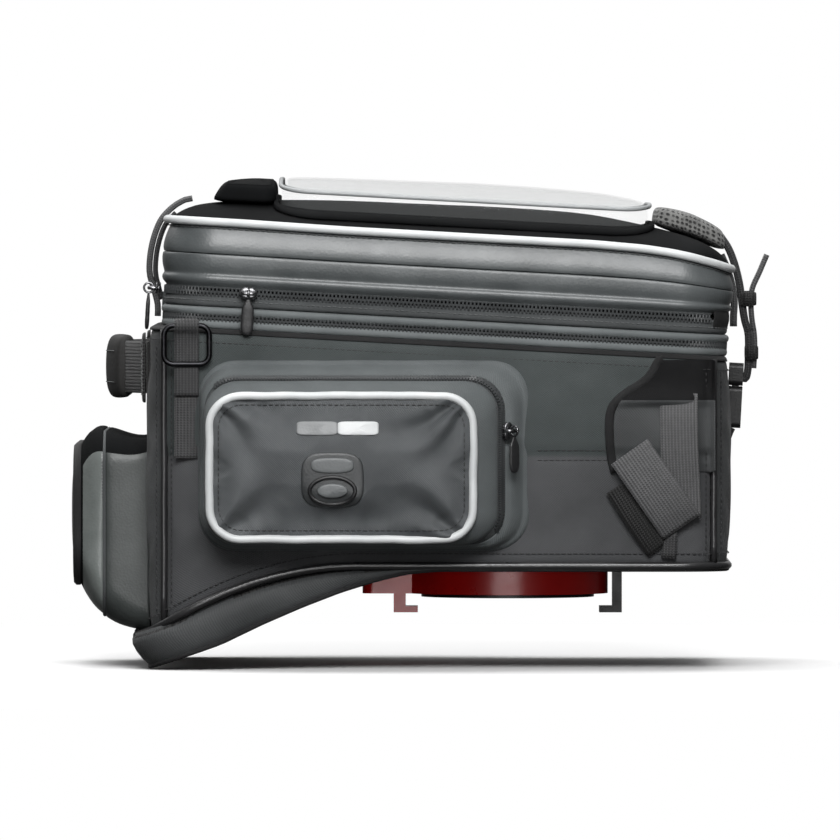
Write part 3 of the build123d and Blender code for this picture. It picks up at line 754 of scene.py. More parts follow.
def wall_panel(name, s0, s1, seam=False):
    """One sewn wall panel, pulled in at its seams and slightly full between them."""
    stops = BODY.walk(s0, s1, 5.0)
    rows = []
    below, above = (16, 12) if seam else (14, 14)
    marks = [("low", k / below) for k in range(below)] + [("high", k / above) for k in range(above + 1)]
    for part, share in marks:
        row = []
        for s in stops:
            x, y, nx, ny = BODY.at(s)
            low, high = underside(x) + 0.6, seam_height(x) - 0.4
            split = PANEL_SEAM_Z if seam else (low + high) / 2
            z = low + (split - low) * share if part == "low" else split + (high - split) * share
            v = (z - low) / (high - low)
            end = min(s - s0, s1 - s)
            pull = -1.3 * math.exp(-end / 4.0) - 0.9 * math.exp(-v * 60) - 0.7 * math.exp(-(1 - v) * 60)
            full = 2.0 * math.sin(math.pi * v) ** 0.6 * (1 - math.exp(-end / 30))
            step = 0.0
            if seam:
                step = (0.7 / (1 + math.exp(-(z - split - 1.0) * 1.6))
                        - 0.9 * math.exp(-((z - split) / 2.0) ** 2))
            ripple = 0.9 * noise.noise(Vector((s / 55, z / 34, 3.1)))
            ripple += 0.35 * noise.noise(Vector((s / 18, z / 16, 7.7)))
            off = pull + full + step + ripple * (1 - math.exp(-end / 20)) * math.sin(math.pi * v)
            row.append((x + nx * off, y + ny * off, z))
        rows.append(row)
    panel = grid(name, rows, FABRIC if seam else PANEL)
    settle(panel, rim_indices(len(stops), len(rows), 3), 0.3, 0.004, 12, 1.2)
    if seam:
        SKINS[-1 if s0 < BODY.length / 2 else 1] = surface(panel)
    thick(panel, 3.2, LINING)
    return smooth(panel)


def body_walls():
    rr, fr, fl, rl = BODY.corners
    for node, s0, s1, seam in (("side_panel_right", rr, fr, True), ("front_panel", fr, fl, False),
                               ("side_panel_left", fl, rl, True),
                               ("rear_panel", rl, rr + BODY.length, False)):
        ride(wall_panel(f"{node}_cloth", s0, s1, seam), "bag", "shell_fabric", node)


def wall_place(s, z, off):
    x, y, nx, ny = BODY.at(s)
    return Vector((x + nx * off, y + ny * off, z)), Vector((nx, ny, 0))


def body_trim():
    """Piping round the foot and up the corners, the top binding and its shoulder, and the seams' thread."""
    tubes = []
    foot, outs = along_plan(BODY, BODY.walk(0, BODY.length, 5.0)[:-1], 0.6, lambda x, y: underside(x) + 0.2)
    tubes.append(sweep("foot_piping", foot, outs, round_section(2.3), PIPING, closed=True))
    for s in BODY.corners:
        x = BODY.at(s)[0]
        low, high = underside(x) + 2, seam_height(x) - 1
        ends = [wall_place(s, low + (high - low) * k / 12, 0.5 + 0.15 * math.sin(k * 1.7)) for k in range(13)]
        tubes.append(sweep("corner_piping", [p for p, n in ends], ends[0][1], round_section(1.9), PIPING))
    ride(joined("body_piping_cord", tubes), "bag", "dark_piping", "body_piping")

    wall, ledge, tape = [], [], []
    count = 260
    for k in range(count):
        x, y, nx, ny = BODY.at(k / count * BODY.length)
        wall.append(Vector((x + nx * 0.2, y + ny * 0.2, seam_height(x) - 2.2)))
        ledge.append(Vector((x - nx * 0.4, y - ny * 0.4, seam_height(x) + 0.4)))
        a, b, ax, ay = TOP.at(k / count * TOP.length)
        tape.append(UPPER @ Vector((a - ax * 2.2, b - ay * 2.2, 0.9)))
    mid = [w.lerp(l, 0.5) + (w - t).normalized() * 1.0 for w, l, t in zip(wall, ledge, tape)]
    slope = [l.lerp(t, 0.5) + Vector((0, 0, 0.5)) for l, t in zip(ledge, tape)]
    shoulder = grid("top_binding", [wall, mid, ledge, slope, tape], BINDING, close_u=True)
    ride(smooth(thick(shoulder, 0.9)), "bag", "dark_piping")

    rows, normals = [], []
    for level in (lambda x, y: underside(x) + 7.2, lambda x, y: seam_height(x) - 7.0):
        path, out = along_plan(BODY, BODY.walk(0, BODY.length, 4.0), 0.9, level)
        rows.append(path)
        normals.append(out)
    for s in BODY.corners:
        for shift in (-6.0, 6.0):
            x = BODY.at(s + shift)[0]
            low, high = underside(x) + 9, seam_height(x) - 8
            ends = [wall_place(s + shift, low + (high - low) * k / 10, 0.9) for k in range(11)]
            rows.append([p for p, n in ends])
            normals.append(ends[0][1])
    for side in (-1, 1):
        for shift in (-2.4, 3.2):
            z = PANEL_SEAM_Z + shift
            rows.append([(x, SKINS[side](x, z, side), z) for x in range(16, 60, 4)])
            normals.append(Vector((0, side, 0)))
    ride(stitches("wall_thread", rows, normals, DARK_THREAD), "bag", "webbing")


# ---------------------------------------------------------------- base
SKIRT = [(-205, -38), (-165, -24), (-140, -12), (-118, -2.5), (-96, 6), (-75, 12.5), (-58, 16.5), (-40, 18),
         (125, 18)]


def base_pad():
    """Padded non-slip base: thin over the tank's top, thick and saddled at the rear."""
    stops = [k / 220 * BODY.length for k in range(220)]
    saddle_r, pitch, rise = 440.0, math.radians(19.3), 15.0     # the hollow that straddles the tank
    centre_x = -40.0

    def under(x, y):
        z = between_points(SKIRT, x)
        if x < centre_x:
            arch = SKIRT[0][1] + rise - saddle_r / math.cos(pitch) + (x - REAR_X) * math.tan(pitch)
            saddle = arch + math.sqrt(saddle_r ** 2 - y ** 2) / math.cos(pitch)
            z = max(z, min(saddle, underside(x) - 4))
        return z

    def shrunk(share, level):
        """The body's outline drawn in towards its middle."""
        ring = [(x * share + (1 - share) * centre_x, y * share) for x, y, _, _ in map(BODY.at, stops)]
        return [(x, y, level(x, y)) for x, y in ring]

    rows = [shrunk(share, under) for share in (0.25, 0.45, 0.6, 0.75, 0.88, 0.96)]
    edge = [(-2.4, 0.0), (-0.4, 0.07), (1.0, 0.24), (1.6, 0.46), (1.2, 0.68), (-0.4, 0.83), (-3.4, 0.92),
            (-4.0, 1.0)]
    for off, t in edge:
        row = []
        for s in stops:
            x, y, nx, ny = BODY.at(s)
            low, high = under(x, y), underside(x) - 0.8
            lip = 13.0 * max(0.0, -nx) ** 2 * t ** 0.9
            puff = off + lip + 0.3 * math.sin(s / 9.0) * math.sin(math.pi * t)
            row.append((x + nx * puff, y + ny * puff, low + (high - low) * t))
        rows.append(row)
    rows += [shrunk(share, lambda x, y: underside(x) - 0.4) for share in (0.9, 0.6, 0.25)]
    pad = grid("base_pad_rubber", rows, NON_SLIP, close_u=True, cap=True)

    def cutter(name, fill):
        mesh = bpy.data.meshes.new(name)
        bm = bmesh.new()
        fill(bm)
        bm.to_mesh(mesh)
        bm.free()
        return new_object(name, mesh)

    def round_room(bm):
        radius = 75.6 * M
        bmesh.ops.create_cone(bm, cap_ends=True, segments=96, radius1=radius, radius2=radius, depth=120 * M)

    def tongue_room(bm):
        bmesh.ops.create_cube(bm, size=1.0)
        place = Matrix.Translation((-0.072, 0, -0.0115)) @ Matrix.Diagonal((0.058, 0.045, 0.058, 1))
        bmesh.ops.transform(bm, verts=bm.verts, matrix=place)

    room, slot = cutter("ring_room", round_room), cutter("tongue_room", tongue_room)
    for tool in (room, slot):
        cut = pad.modifiers.new("room", "BOOLEAN")
        cut.operation = "DIFFERENCE"
        cut.solver = "EXACT"
        cut.object = tool
    applied(pad)
    bpy.data.objects.remove(room)
    bpy.data.objects.remove(slot)
    pad.data.materials.clear()
    pad.data.materials.append(NON_SLIP)
    pad.data.materials.append(PANEL)
    for polygon in pad.data.polygons:
        if abs(polygon.normal.z) < 0.75 and polygon.center.xy.length > 0.1:
            polygon.material_index = 1
    ride(pad, "bag", "grip_rubber", "base_pad")

    path, out = along_plan(BODY, stops, 0.2, lambda x, y: under(x, y) + 0.6)
    ride(sweep("base_edge_binding", path, out, round_section(1.3, 8), BINDING, closed=True), "bag",
         "dark_piping")


# ---------------------------------------------------------------- zips
def zip_teeth(name, plan, matrix, z, side, s0, s1, off):
    """One half of a row of moulded teeth. side is +1 above the line and -1 below it."""
    verts, faces = [], []
    count = int((s1 - s0) / PITCH)
    for k in range(count):
        s = s0 + (k + (0.25 if side > 0 else 0.75)) * PITCH
        x, y, nx, ny = plan.at(s)
        across = Vector((-ny, nx, 0))
        out = Vector((nx, ny, 0))
        root = Vector((x, y, z)) + out * off
        first = len(verts)
        for height, half, deep in ((-0.55 * side, 0.62, 0.5), (0.9 * side, 0.55, 0.62),
                                   (2.3 * side, 0.5, 0.5)):
            for a, b in ((-half, -deep), (half, -deep), (half, deep), (0, deep + 0.3), (-half, deep)):
                verts.append((matrix @ (root + across * a + out * b + Vector((0, 0, height)))) * M)
        for ring in range(2):
            for q in range(5):
                r0, r1 = first + ring * 5, first + (ring + 1) * 5
                faces.append([r0 + q, r0 + (q + 1) % 5, r1 + (q + 1) % 5, r1 + q])
        faces.append([first + q for q in range(5)])
        faces.append([first + 10 + q for q in range(5)])
    return solid(name, verts, faces, TEETH)


def zips():
    """Expansion and main zips: rolled bands, tapes and teeth, each half on its own body."""
    fr, fl = TOP.corners[1], TOP.corners[2]
    roll = [(-2.6, 0.9), (-1.3, 0.7), (-0.1, 1.5), (0.35, 3.0), (0.1, 4.6), (-0.7, 5.6), (-1.6, 5.9)]
    lower = grid("expansion_band_lower", around(TOP, UPPER, roll), ROLL, close_u=True)
    ride(smooth(thick(lower, 0.8)), "bag", "zip_tape", "expansion_zip_lower")
    upper_roll = [(-1.6, 8.1), (-0.8, 8.4), (0.3, 9.3), (0.9, 10.8), (0.7, 12.2), (-0.3, 13.1), (-1.8, 13.4)]
    upper = grid("expansion_band_upper", around(TOP, UPPER, upper_roll), ROLL, close_u=True)
    ride(smooth(thick(upper, 0.8)), "rim", "zip_tape", "expansion_zip_upper")
    for side, body in ((-1, "bag"), (1, "rim")):
        teeth = zip_teeth(f"expansion_teeth_{body}", TOP, UPPER, EXPAND_Z, side, 0, TOP.length, -0.9)
        ride(teeth, body, "zip_tape")

    start, stop = fl, fr + TOP.length
    tape = [(-1.9, 13.4), (-1.2, 13.8), (-0.5, 14.6), (-0.4, 16.2), (-0.9, 17.4), (-1.4, 18.6), (-1.5, 20.4)]
    made = grid("main_tape_lower", around(TOP, UPPER, tape), TAPE, close_u=True)
    ride(smooth(thick(made, 0.9)), "rim", "zip_tape", "main_zip_lower")
    tape = [(-1.5, 23.6), (-1.4, 25.0), (-1.1, 26.4), (-1.6, 27.4)]
    made = grid("main_tape_upper", around(TOP, UPPER, tape, start, stop), TAPE)
    ride(smooth(thick(made, 0.9)), "lid", "zip_tape", "main_zip_upper")
    for side, body in ((-1, "rim"), (1, "lid")):
        ride(zip_teeth(f"main_teeth_{body}", TOP, UPPER, MAIN_Z, side, start, stop, -0.9), body, "zip_tape")

    collar = [(-2.7, 14.0), (-2.4, 18), (-2.6, 20.9), (-3.4, 21.6), (-4.9, 21.6), (-5.6, 20.8), (-5.7, 14),
              (-5.5, 8.6), (-4.4, 7.9), (-3.0, 8.0), (-2.6, 9.2)]
    band = grid("rim_collar", around(TOP, UPPER, collar), LINING, close_u=True, close_v=True)
    ride(smooth(band), "rim", "shell_fabric", "rim_band")
    path, out = along_plan(TOP, TOP.walk(0, TOP.length), -0.5, lambda x, y: 17.0, UPPER)
    ride(stitches("rim_thread", [path], [out], THREAD, 3.0, 2.1, 0.28), "rim", "webbing")


def bellows():
    """Expansion fabric in small pleats between the walls and the rim."""
    pleats = 7
    steps = pleats * 4
    profile = [(-9.0 + 1.6 * math.cos(math.pi * k / 2), -22 + 28 * k / steps) for k in range(steps + 1)]
    made = grid("bellows_cloth", around(TOP, UPPER, profile, step=6.0), BELLOWS, close_u=True)
    applied(thick(made, 0.5))
    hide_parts("bellows")
    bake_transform(made)


def hinge_strip():
    """Fabric strip round the front that the lid folds on."""
    fr, fl = TOP.corners[1], TOP.corners[2]
    profile = [(-1.4, 14.2), (-0.6, 16), (-0.1, 18.5), (0.3, 20.5), (0.5, 22), (0.4, 24), (0.1, 26),
               (-0.4, 28), (-1.2, 29.5)]
    made = grid("lid_hinge_cloth", around(TOP, UPPER, profile, fr, fl), BINDING)
    applied(smooth(thick(made, 0.8)))
    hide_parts("lid_hinge_strip")
    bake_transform(made)


# ---------------------------------------------------------------- lid
LONG_TOP = [(-230, 50), (-199, 63.5), (-192, 67.8), (-186, 70.5), (-170, 73.4), (-150, 75.5), (-110, 77.4),
            (-60, 78.5),
            (-20, 79), (20, 79), (48, 77.5), (74, 73.5), (90, 70.5), (102, 67.5), (114, 63), (125, 57.5),
            (150, 42)]
PIPE_TOP = [(-220, 61.8), (-155, 61.6), (-97, 60.8), (45, 60.8), (74, 59.8), (90, 58.3), (102, 56.4),
            (115, 53.6),
            (125, 50.9), (140, 46)]


def dome(x, y):
    """Height of the lid's top at x and y, in the tilted frame."""
    across = 80.5 - 21.5 * (y / 144) ** 2
    along = between_points(LONG_TOP, x)
    gap = 2.5
    h = max(0.0, min(1.0, 0.5 + 0.5 * (across - along) / gap))
    return across * (1 - h) + along * h - gap * h * (1 - h)


def pipe_height(x):
    return between_points(PIPE_TOP, x)


def lid():
    """Moulded side wall with two ribbed bands, and the dark domed top in one padded sheet."""
    def height(x, share):
        """share is 0 at the wall's lower edge and 1 at the piping."""
        return LID_EDGE_Z + (pipe_height(x) - LID_EDGE_Z) * share

    lower = [(-2.9, -0.10), (-1.6, -0.07), (-0.5, -0.03), (0.7, 0.0), (1.4, 0.045), (1.4, 0.09), (0.5, 0.125),
             (0.2, 0.15), (0.7, 0.19), (1.5, 0.26), (1.9, 0.35), (1.9, 0.42), (1.6, 0.46), (1.2, 0.48)]
    upper = [(1.2, 0.48), (1.2, 0.5), (1.6, 0.53), (1.6, 0.59), (1.2, 0.66), (0.5, 0.74), (-0.4, 0.82),
             (-1.4, 0.89),
             (-2.3, 0.95), (-3.0, 1.02)]
    # The lower band takes the shaded copy of the lid skin: painted shade.
    wall = grid("lid_wall_lower", around(TOP, UPPER, lower, height=height), SKIN_SHADED, close_u=True)
    ride(smooth(thick(wall, 2.0, LINING)), "lid", "lid_skin", "lid_shell")
    wall = grid("lid_wall_upper", around(TOP, UPPER, upper, height=height), SKIN, close_u=True)
    ride(smooth(thick(wall, 2.0, LINING)), "lid", "lid_skin")

    stops = TOP.walk(0, TOP.length, 5.0)[:-1]
    rows, middle_x, reach = [], -37, 120
    arc_room = 29.5                         # just inside the plan's corner radius
    for inset in (1.2, 3.0, 5.5, 9, 14, 20, 28, 38, 50, 64, 80, 96, 110, 120):
        row = []
        for s in stops:
            x, y, nx, ny = TOP.at(s)
            px, py = x - nx * min(inset, arc_room), y - ny * min(inset, arc_room)
            if inset > arc_room:
                share = 1 - (inset - arc_room) / (reach - arc_room) * 0.995
                px, py = middle_x + (px - middle_x) * share, py * share
            low = pipe_height(px) + 0.6
            top = dome(px, py)
            lift = 1 - math.exp(-inset / 4.0)
            ripple = 0.5 * noise.noise(Vector((px / 45, py / 45, 1.3))) * lift
            row.append(UPPER @ Vector((px, py, low * (1 - lift) + max(low, top) * lift + ripple)))
        rows.append(row)
    # The lid's top takes the shaded black cloth: black cloth plus painted shade under the map window.
    top = grid("lid_top", rows, SHADED_BLACK_CLOTH, close_u=True, cap="end")
    ride(smooth(thick(top, 2.4, LINING)), "lid", "lid_skin")

    path, out = along_plan(TOP, stops, 0.2, lambda x, y: pipe_height(x) + 0.2, UPPER)
    ride(smooth(sweep("lid_reflective_piping", path, out, round_section(2.6, 8), SILVER, closed=True)), "lid",
         "reflective_piping", "lid_piping")
    path, _ = along_plan(TOP, stops, -0.6, lambda x, y: pipe_height(x) - 3.2, UPPER)
    ride(stitches("lid_thread", [path], [out], THREAD, 3.2, 2.3, 0.28), "lid", "webbing")


# ---------------------------------------------------------------- map pocket
def on_dome(x, y, lift):
    return UPPER @ Vector((x, y, dome(x, y) + lift))


def puffed_block(name, plan, height, material, edge=6.0, bulge=1.0, step=4.0, lean=0.0):
    """A padded block on the lid's top: rounded edges and a crowned face."""
    stops = plan.walk(0, plan.length, step)[:-1]
    rows = []
    sides = [(0.0, 0.06), (-0.15, 0.3), (0.0, 0.55), (0.5, 0.78), (1.6, 0.92), (3.4, 0.985), (edge, 1.0)]
    reach = max(12.0, min(plan.runs[0][4], plan.runs[2][4] / 2) + plan.runs[1][3] - edge)
    insets = [(edge + reach * t, 1.0 + bulge * 0.1 * math.sin(math.pi * t / 2))
              for t in (0.25, 0.5, 0.8, 0.985)]
    for inset, share in [*sides, *insets]:
        row = []
        for s in stops:
            x, y, nx, ny = plan.at(s)
            cap = plan.runs[1][3] * 0.98
            px, py = x - nx * min(inset, cap) + lean * share * max(0.0, -nx), y - ny * min(inset, cap)
            if inset > cap:
                cx = (plan.runs[2][1][0] + plan.runs[3][1][0]) / 2
                t = (inset - cap) / (edge + reach - cap)
                px, py = cx + (px - cx) * (1 - t), py * (1 - t)
            crease = 0.35 * noise.noise(Vector((px / 13, py / 13, 5.0)))
            row.append(on_dome(px, py, height * share + crease * share))
        rows.append(row)
    return smooth(grid(name, rows, material, close_u=True, cap=True))


def map_pocket():
    frame_plan = Plan(-139, 80, 118, 26)
    window = Plan(-135.5, 76.5, 102.5, 16.5)
    middle_x = -29.5
    stops = frame_plan.walk(0, frame_plan.length, 5.0)[:-1]
    rows = []
    for inset, lift in ((0.0, 0.4), (-0.2, 1.6), (0.6, 2.8), (2.4, 3.4), (5.0, 3.3), (9.0, 3.0), (12.5, 2.6)):
        row = []
        for s in stops:
            x, y, nx, ny = frame_plan.at(s)
            draw_in = inset * 3.5 / 12.5 if abs(nx) > 0.9 else inset * (1 - 0.72 * abs(nx) ** 2)
            row.append(on_dome(x - nx * draw_in, y - ny * inset * 1.2, lift))
        rows.append(row)
    # The border takes the shaded black cloth: black cloth plus painted shade under the window's overhang.
    border = grid("map_border", rows, SHADED_BLACK_CLOTH, close_u=True)
    ride(smooth(thick(border, 1.0)), "lid", "shell_fabric", "map_frame")

    stops = window.walk(0, window.length, 5.0)[:-1]
    rows = []
    insets = [(0.0, 0.6), (0.1, 4.0), (0.3, 8.0), (1.0, 10.6), (2.6, 12.2), (5.5, 12.9), (10, 13.0),
              (16, 13.0),
              (26, 13), (40, 13), (60, 13), (80, 13), (98, 13)]
    for inset, lift in insets:
        row = []
        for s in stops:
            x, y, nx, ny = window.at(s)
            px, py = x - nx * min(inset, 16), y - ny * min(inset, 16)
            if inset > 16:
                share = 1 - (inset - 16) / (98 - 16) * 0.995
                px, py = middle_x + (px - middle_x) * share, py * share
            wave = 0.5 * noise.noise(Vector((px / 50, py / 50, 9.0))) * min(1, inset / 8)
            row.append(on_dome(px, py, lift + wave))
        rows.append(row)
    pane = grid("map_pane", rows, WINDOW, close_u=True, cap="end")
    repaint(pane, WINDOW_SIDE, len(rows[0]), lambda column, row: row < 4)
    ride(smooth(thick(pane, 0.8)), "lid", "clear_window", "map_window")

    path = [on_dome(*window.at(s)[:2], 12.2) for s in stops]
    out = [Vector((*window.at(s)[2:], 0.4)) for s in stops]
    ride(sweep("map_pane_edge", path, out, round_section(1.3, 8), EDGE_GREY, closed=True), "lid",
         "clear_window")

    flap = puffed_block("map_flap_pad", Plan(-175, -138, 92, 8), 12.0, SHADED_BLACK_CLOTH, edge=2.4, bulge=0.5,
                        lean=6.0)
    ride(flap, "flap", "shell_fabric", "map_flap")
    front = puffed_block("map_front_pad", Plan(80.5, 121, 84, 10), 12.5, MESH_CLOTH, edge=4.0)
    ride(front, "lid", "shell_fabric", "map_front_block")


# ---------------------------------------------------------------- straps and buckle
def strap(name, points, width, outward, material=BLACK_WEBBING, thickness=1.9):
    """Webbing along points drawn in the tilted frame's X and Z.

    outward is +1 where its face is to the right of its travel."""
    path = spline([UPPER @ Vector((x, 0, z)) for x, z in points], 3.0)
    return sweep(name, path, beside(path, Vector((0, outward, 0))), strap_section(width, thickness), material)


def straps():
    rear = strap("rear_strap_webbing",
                 [(-203.2, 5.2), (-203.6, 12), (-206, 20), (-209.4, 31), (-208.8, 46), (-204.8, 60),
                                      (-198, 68.6), (-191, 73.3), (-187, 74.3)], 20, -1, WEBBING, 3.2)
    inner = strap("rear_strap_inner",
                  [(-201.2, 15), (-203.2, 21), (-205.9, 31), (-205.4, 45), (-201.8, 58), (-196, 65.4)],
                  19, -1, DARK_WEBBING, 2.6)
    ride(joined("rear_strap_webbing", [rear, inner]), "rear_strap_body", "webbing", "rear_strap")
    patch = strap("rear_strap_hook_tape", [(-199.6, 9.6), (-199.6, 19.6)], 22, -1, TAPE, 2.6)
    ride(patch, "rim", "webbing", "rear_strap_patch")

    split = 15.0      # height in the tilted frame where the plug's part of the strap meets the lid's
    low, high = [], []

    def both_parts(points, width, material, thickness):
        dense = [(p.x, p.z) for p in spline([(x, 0, z) for x, z in points], 1.5)]
        lower = [p for p in dense if p[1] < split + 0.9]
        upper = [p for p in dense if p[1] > split - 0.9]
        for group, part in ((low, lower), (high, upper)):
            group.append(strap("front_strap_part", part, width, 1, material, thickness))

    both_parts([(134.4, -10.4), (138.4, -12.4), (139.7, -7), (139.6, 2), (139.3, 9), (138.5, 15), (136.2, 22),
                (134.3, 31), (132.2, 42), (128.7, 53.5), (124.6, 62.5), (119.5, 69.4)], 20, DARK_WEBBING, 4.0)
    both_parts([(143.0, -6), (143.0, 5), (142.2, 14), (140.5, 22), (139.4, 31), (139.7, 40), (143.4, 50),
                (147, 60)],
               20, WEBBING, 2.8)
    high.append(strap("front_strap_inner", [(130.0, 17.5), (129.7, 24), (129.7, 31), (128.2, 40), (124.8, 50),
                                            (120.6, 58.5)], 19, 1, WEBBING, 3.8))
    for group, x, z, deep in ((low, 141.2, 3, 7.4), (high, 137.6, 34, 9.0)):
        group.append(sweep("front_strap_keeper", [UPPER @ Vector((x, y, z)) for y in (-11.6, 11.6)], X_AXIS,
                           strap_section(9, deep), BLACK_WEBBING))
    loop = joined("front_strap_loop", low)
    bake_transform(loop)
    cloth = joined("front_strap_cloth", high)
    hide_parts("front_strap_upper", "front_strap_middle")
    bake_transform(cloth)
    anchor = strap("front_anchor_webbing", [(130.6, -68), (130.2, -56), (131.2, -47), (133.2, -41.5)], 20, 1)
    ride(anchor, "bag", "webbing", "front_strap_lower")


def d_ring_tabs():
    x, z = -184.0, 158.0
    for side, word in ((-1, "right"), (1, "left")):
        def lying(table):
            return [(x, side * (HALF_W + off), z - drop) for off, drop in table]
        up = lying([(1.4, 76), (1.4, 50), (1.6, 24), (2.0, 8), (1.9, 1)])
        round_ring = [(x, side * (HALF_W + 5.0 - 3.2 * math.cos(a)), z + 3.2 * math.sin(a))
                      for a in map(math.radians, (20, 60, 100, 140, 180, 220, 255))]
        line = spline([*up, *round_ring, *lying([(3.9, 8), (3.4, 24), (3.2, 40)])], 2.0)
        made = sweep(f"ring_tab_{word}", line, beside(line, X_AXIS * -side), strap_section(14, 1.7),
                     DARK_WEBBING)
        ride(made, "bag", "webbing", *(["d_ring_tabs"] if side < 0 else []))


# ---------------------------------------------------------------- handle
def handle():
    z0, z1 = 117.5, 149.5
    mid = (z0 + z1) / 2
    curve = [(-206.6, 100), (-206.8, 86), (-207.4, 76), (-213, 60), (-220.5, 38), (-225, 15), (-225.6, 0)]
    points = [(x, y, mid) for x, y in curve] + [(x, -y, mid) for x, y in reversed(curve[:-1])]
    path = spline(points, 4.0)
    out = beside(path, -Z_AXIS)
    made = sweep("handle_webbing", path, out, strap_section(30, 2.2), BLACK_WEBBING)
    ride(made, "bag", "webbing", "rear_handle")

    grip = [k for k, p in enumerate(path) if abs(p.y) <= 43]
    rows = []
    for k in grip:
        p, away = path[k], -out[k] if out[k].x > 0 else out[k]
        t = abs(p.y) / 43
        size = 1.0 - 0.28 * t ** 6
        ring = []
        for q in range(20):
            a = 2 * math.pi * q / 20
            ca, sa = math.cos(a), math.sin(a)
            wide = 18.5 * math.copysign(abs(ca) ** 0.7, ca) * (1 - 0.05 * t ** 4)
            deep = 6.6 * math.copysign(abs(sa) ** 0.8, sa) * size
            ring.append(p + Z_AXIS * wide + away * (deep + 0.4))
        rows.append(ring)
    sleeve = grid("handle_grip_foam", rows, GRIP_RUBBER, close_u=True, cap=True)
    ride(smooth(sleeve), "bag", "grip_foam", "handle_grip")
    threads, normals = [], []
    rearward = [out[k] if out[k].x < 0 else -out[k] for k in grip[1:-1]]
    for shift in (-9, 9):
        threads.append([path[k] + away * 6.4 + Z_AXIS * shift for k, away in zip(grip[1:-1], rearward)])
        normals.append(rearward)

    patches = []
    face_x, inset = REAR_X - 5.3, 2.5
    bottom, top = mid - 18 + inset, mid + 18 - inset
    for side in (-1, 1):
        lo, hi = sorted((side * 80, side * 101))
        patches.append(cushion_patch(f"handle_patch_{side}", Vector((REAR_X - 3.2, (lo + hi) / 2, mid)), hi
                                     - lo, 40, 1.8))
        lo, hi = lo + inset, hi - inset
        box = [(lo, bottom), (hi, bottom), (hi, top), (lo, top), (lo, bottom), (hi, top)]
        for (ya, za), (yb, zb) in [*zip(box, box[1:]), ((hi, bottom), (lo, top))]:
            threads.append([(face_x, ya, za), (face_x, yb, zb)])
            normals.append(-X_AXIS)
    ride(joined("handle_end_patches", patches), "bag", "webbing", "handle_anchors")
    ride(stitches("handle_thread", threads, normals, THREAD), "bag", "webbing")


def cushion_patch(name, centre, width, height, depth, radius=3.0, crown=0.4):
    """A flat sewn patch on the rear wall, with a rounded outline, soft edges and a slightly crowned face."""
    side, up, out = Vector((0, 1, 0)), Z_AXIS, -X_AXIS
    w, h = width / 2 - radius, height / 2 - radius
    ring = []
    for cx, cz, start in ((w, h, 0), (-w, h, 90), (-w, -h, 180), (w, -h, 270)):
        for k in range(5):
            a = math.radians(start + 22.5 * k)
            ring.append((cx, cz, math.cos(a), math.sin(a)))
    rows = []
    for inset, level in ((0, 0.0), (-0.1, 0.45), (0.3, 0.8), (1.0, 1.0), (radius * 0.95, 1.0 + crown * 0.3)):
        rows.append([centre + side * (cx + nx * (radius - inset)) + up * (cz + nz * (radius - inset))
                     + out * depth * level
                     for cx, cz, nx, nz in ring])
    for share in (0.6, 0.25, 0.02):
        rows.append([centre + side * cx * share + up * cz * share
                     + out * depth * (1 + crown * (1 - share * 0.6))
                     for cx, cz, nx, nz in ring])
    return fix_normals(grid(name, rows, BLACK_WEBBING, close_u=True, cap=True))


# ---------------------------------------------------------------- side pockets
FACE = (-171.0, -20.0, 36.0, 118.5)
FOOT = (-176.0, 11.0, 31.0, 137.0)
FOOT_Y = HALF_W + 0.3
FACE_Y = HALF_W + 26.3


def outline(x0, x1, z0, z1, radius, counts=(38, 22, 38, 22)):
    """Points and outward directions round a rounded rectangle.

    counts has the points on each straight side."""
    out = []
    corners = ((x1 - radius, z1 - radius, 0), (x0 + radius, z1 - radius, 90), (x0 + radius, z0 + radius, 180),
               (x1 - radius, z0 + radius, 270))
    for number, (cx, cz, start) in enumerate(corners):
        for k in range(8):
            a = math.radians(start + 90 * k / 8)
            out.append((cx + radius * math.cos(a), cz + radius * math.sin(a), math.cos(a), math.sin(a)))
        nx, nz, _ = corners[(number + 1) % 4]
        a = math.radians(start + 90)
        p = (cx + radius * math.cos(a), cz + radius * math.sin(a))
        q = (nx + radius * math.cos(a), nz + radius * math.sin(a))
        for k in range(counts[number]):
            t = k / counts[number]
            out.append((p[0] + (q[0] - p[0]) * t, p[1] + (q[1] - p[1]) * t, math.cos(a), math.sin(a)))
    return out


def gusset_point(index, share, lift, foot, face, side):
    """A point on the slope between the pocket's foot and its face, lifted off it."""
    fx, fz, nx, nz = foot[index]
    gx, gz, _, _ = face[index]
    a = Vector((fx, side * FOOT_Y, fz))
    b = Vector((gx, side * FACE_Y, gz))
    along = (b - a).normalized()
    ring = Vector((-nz, 0, nx))
    normal = ring.cross(along).normalized()
    if normal.dot(Vector((nx, side * 0.2, nz))) < 0:
        normal = -normal
    return a.lerp(b, share) + normal * lift, normal


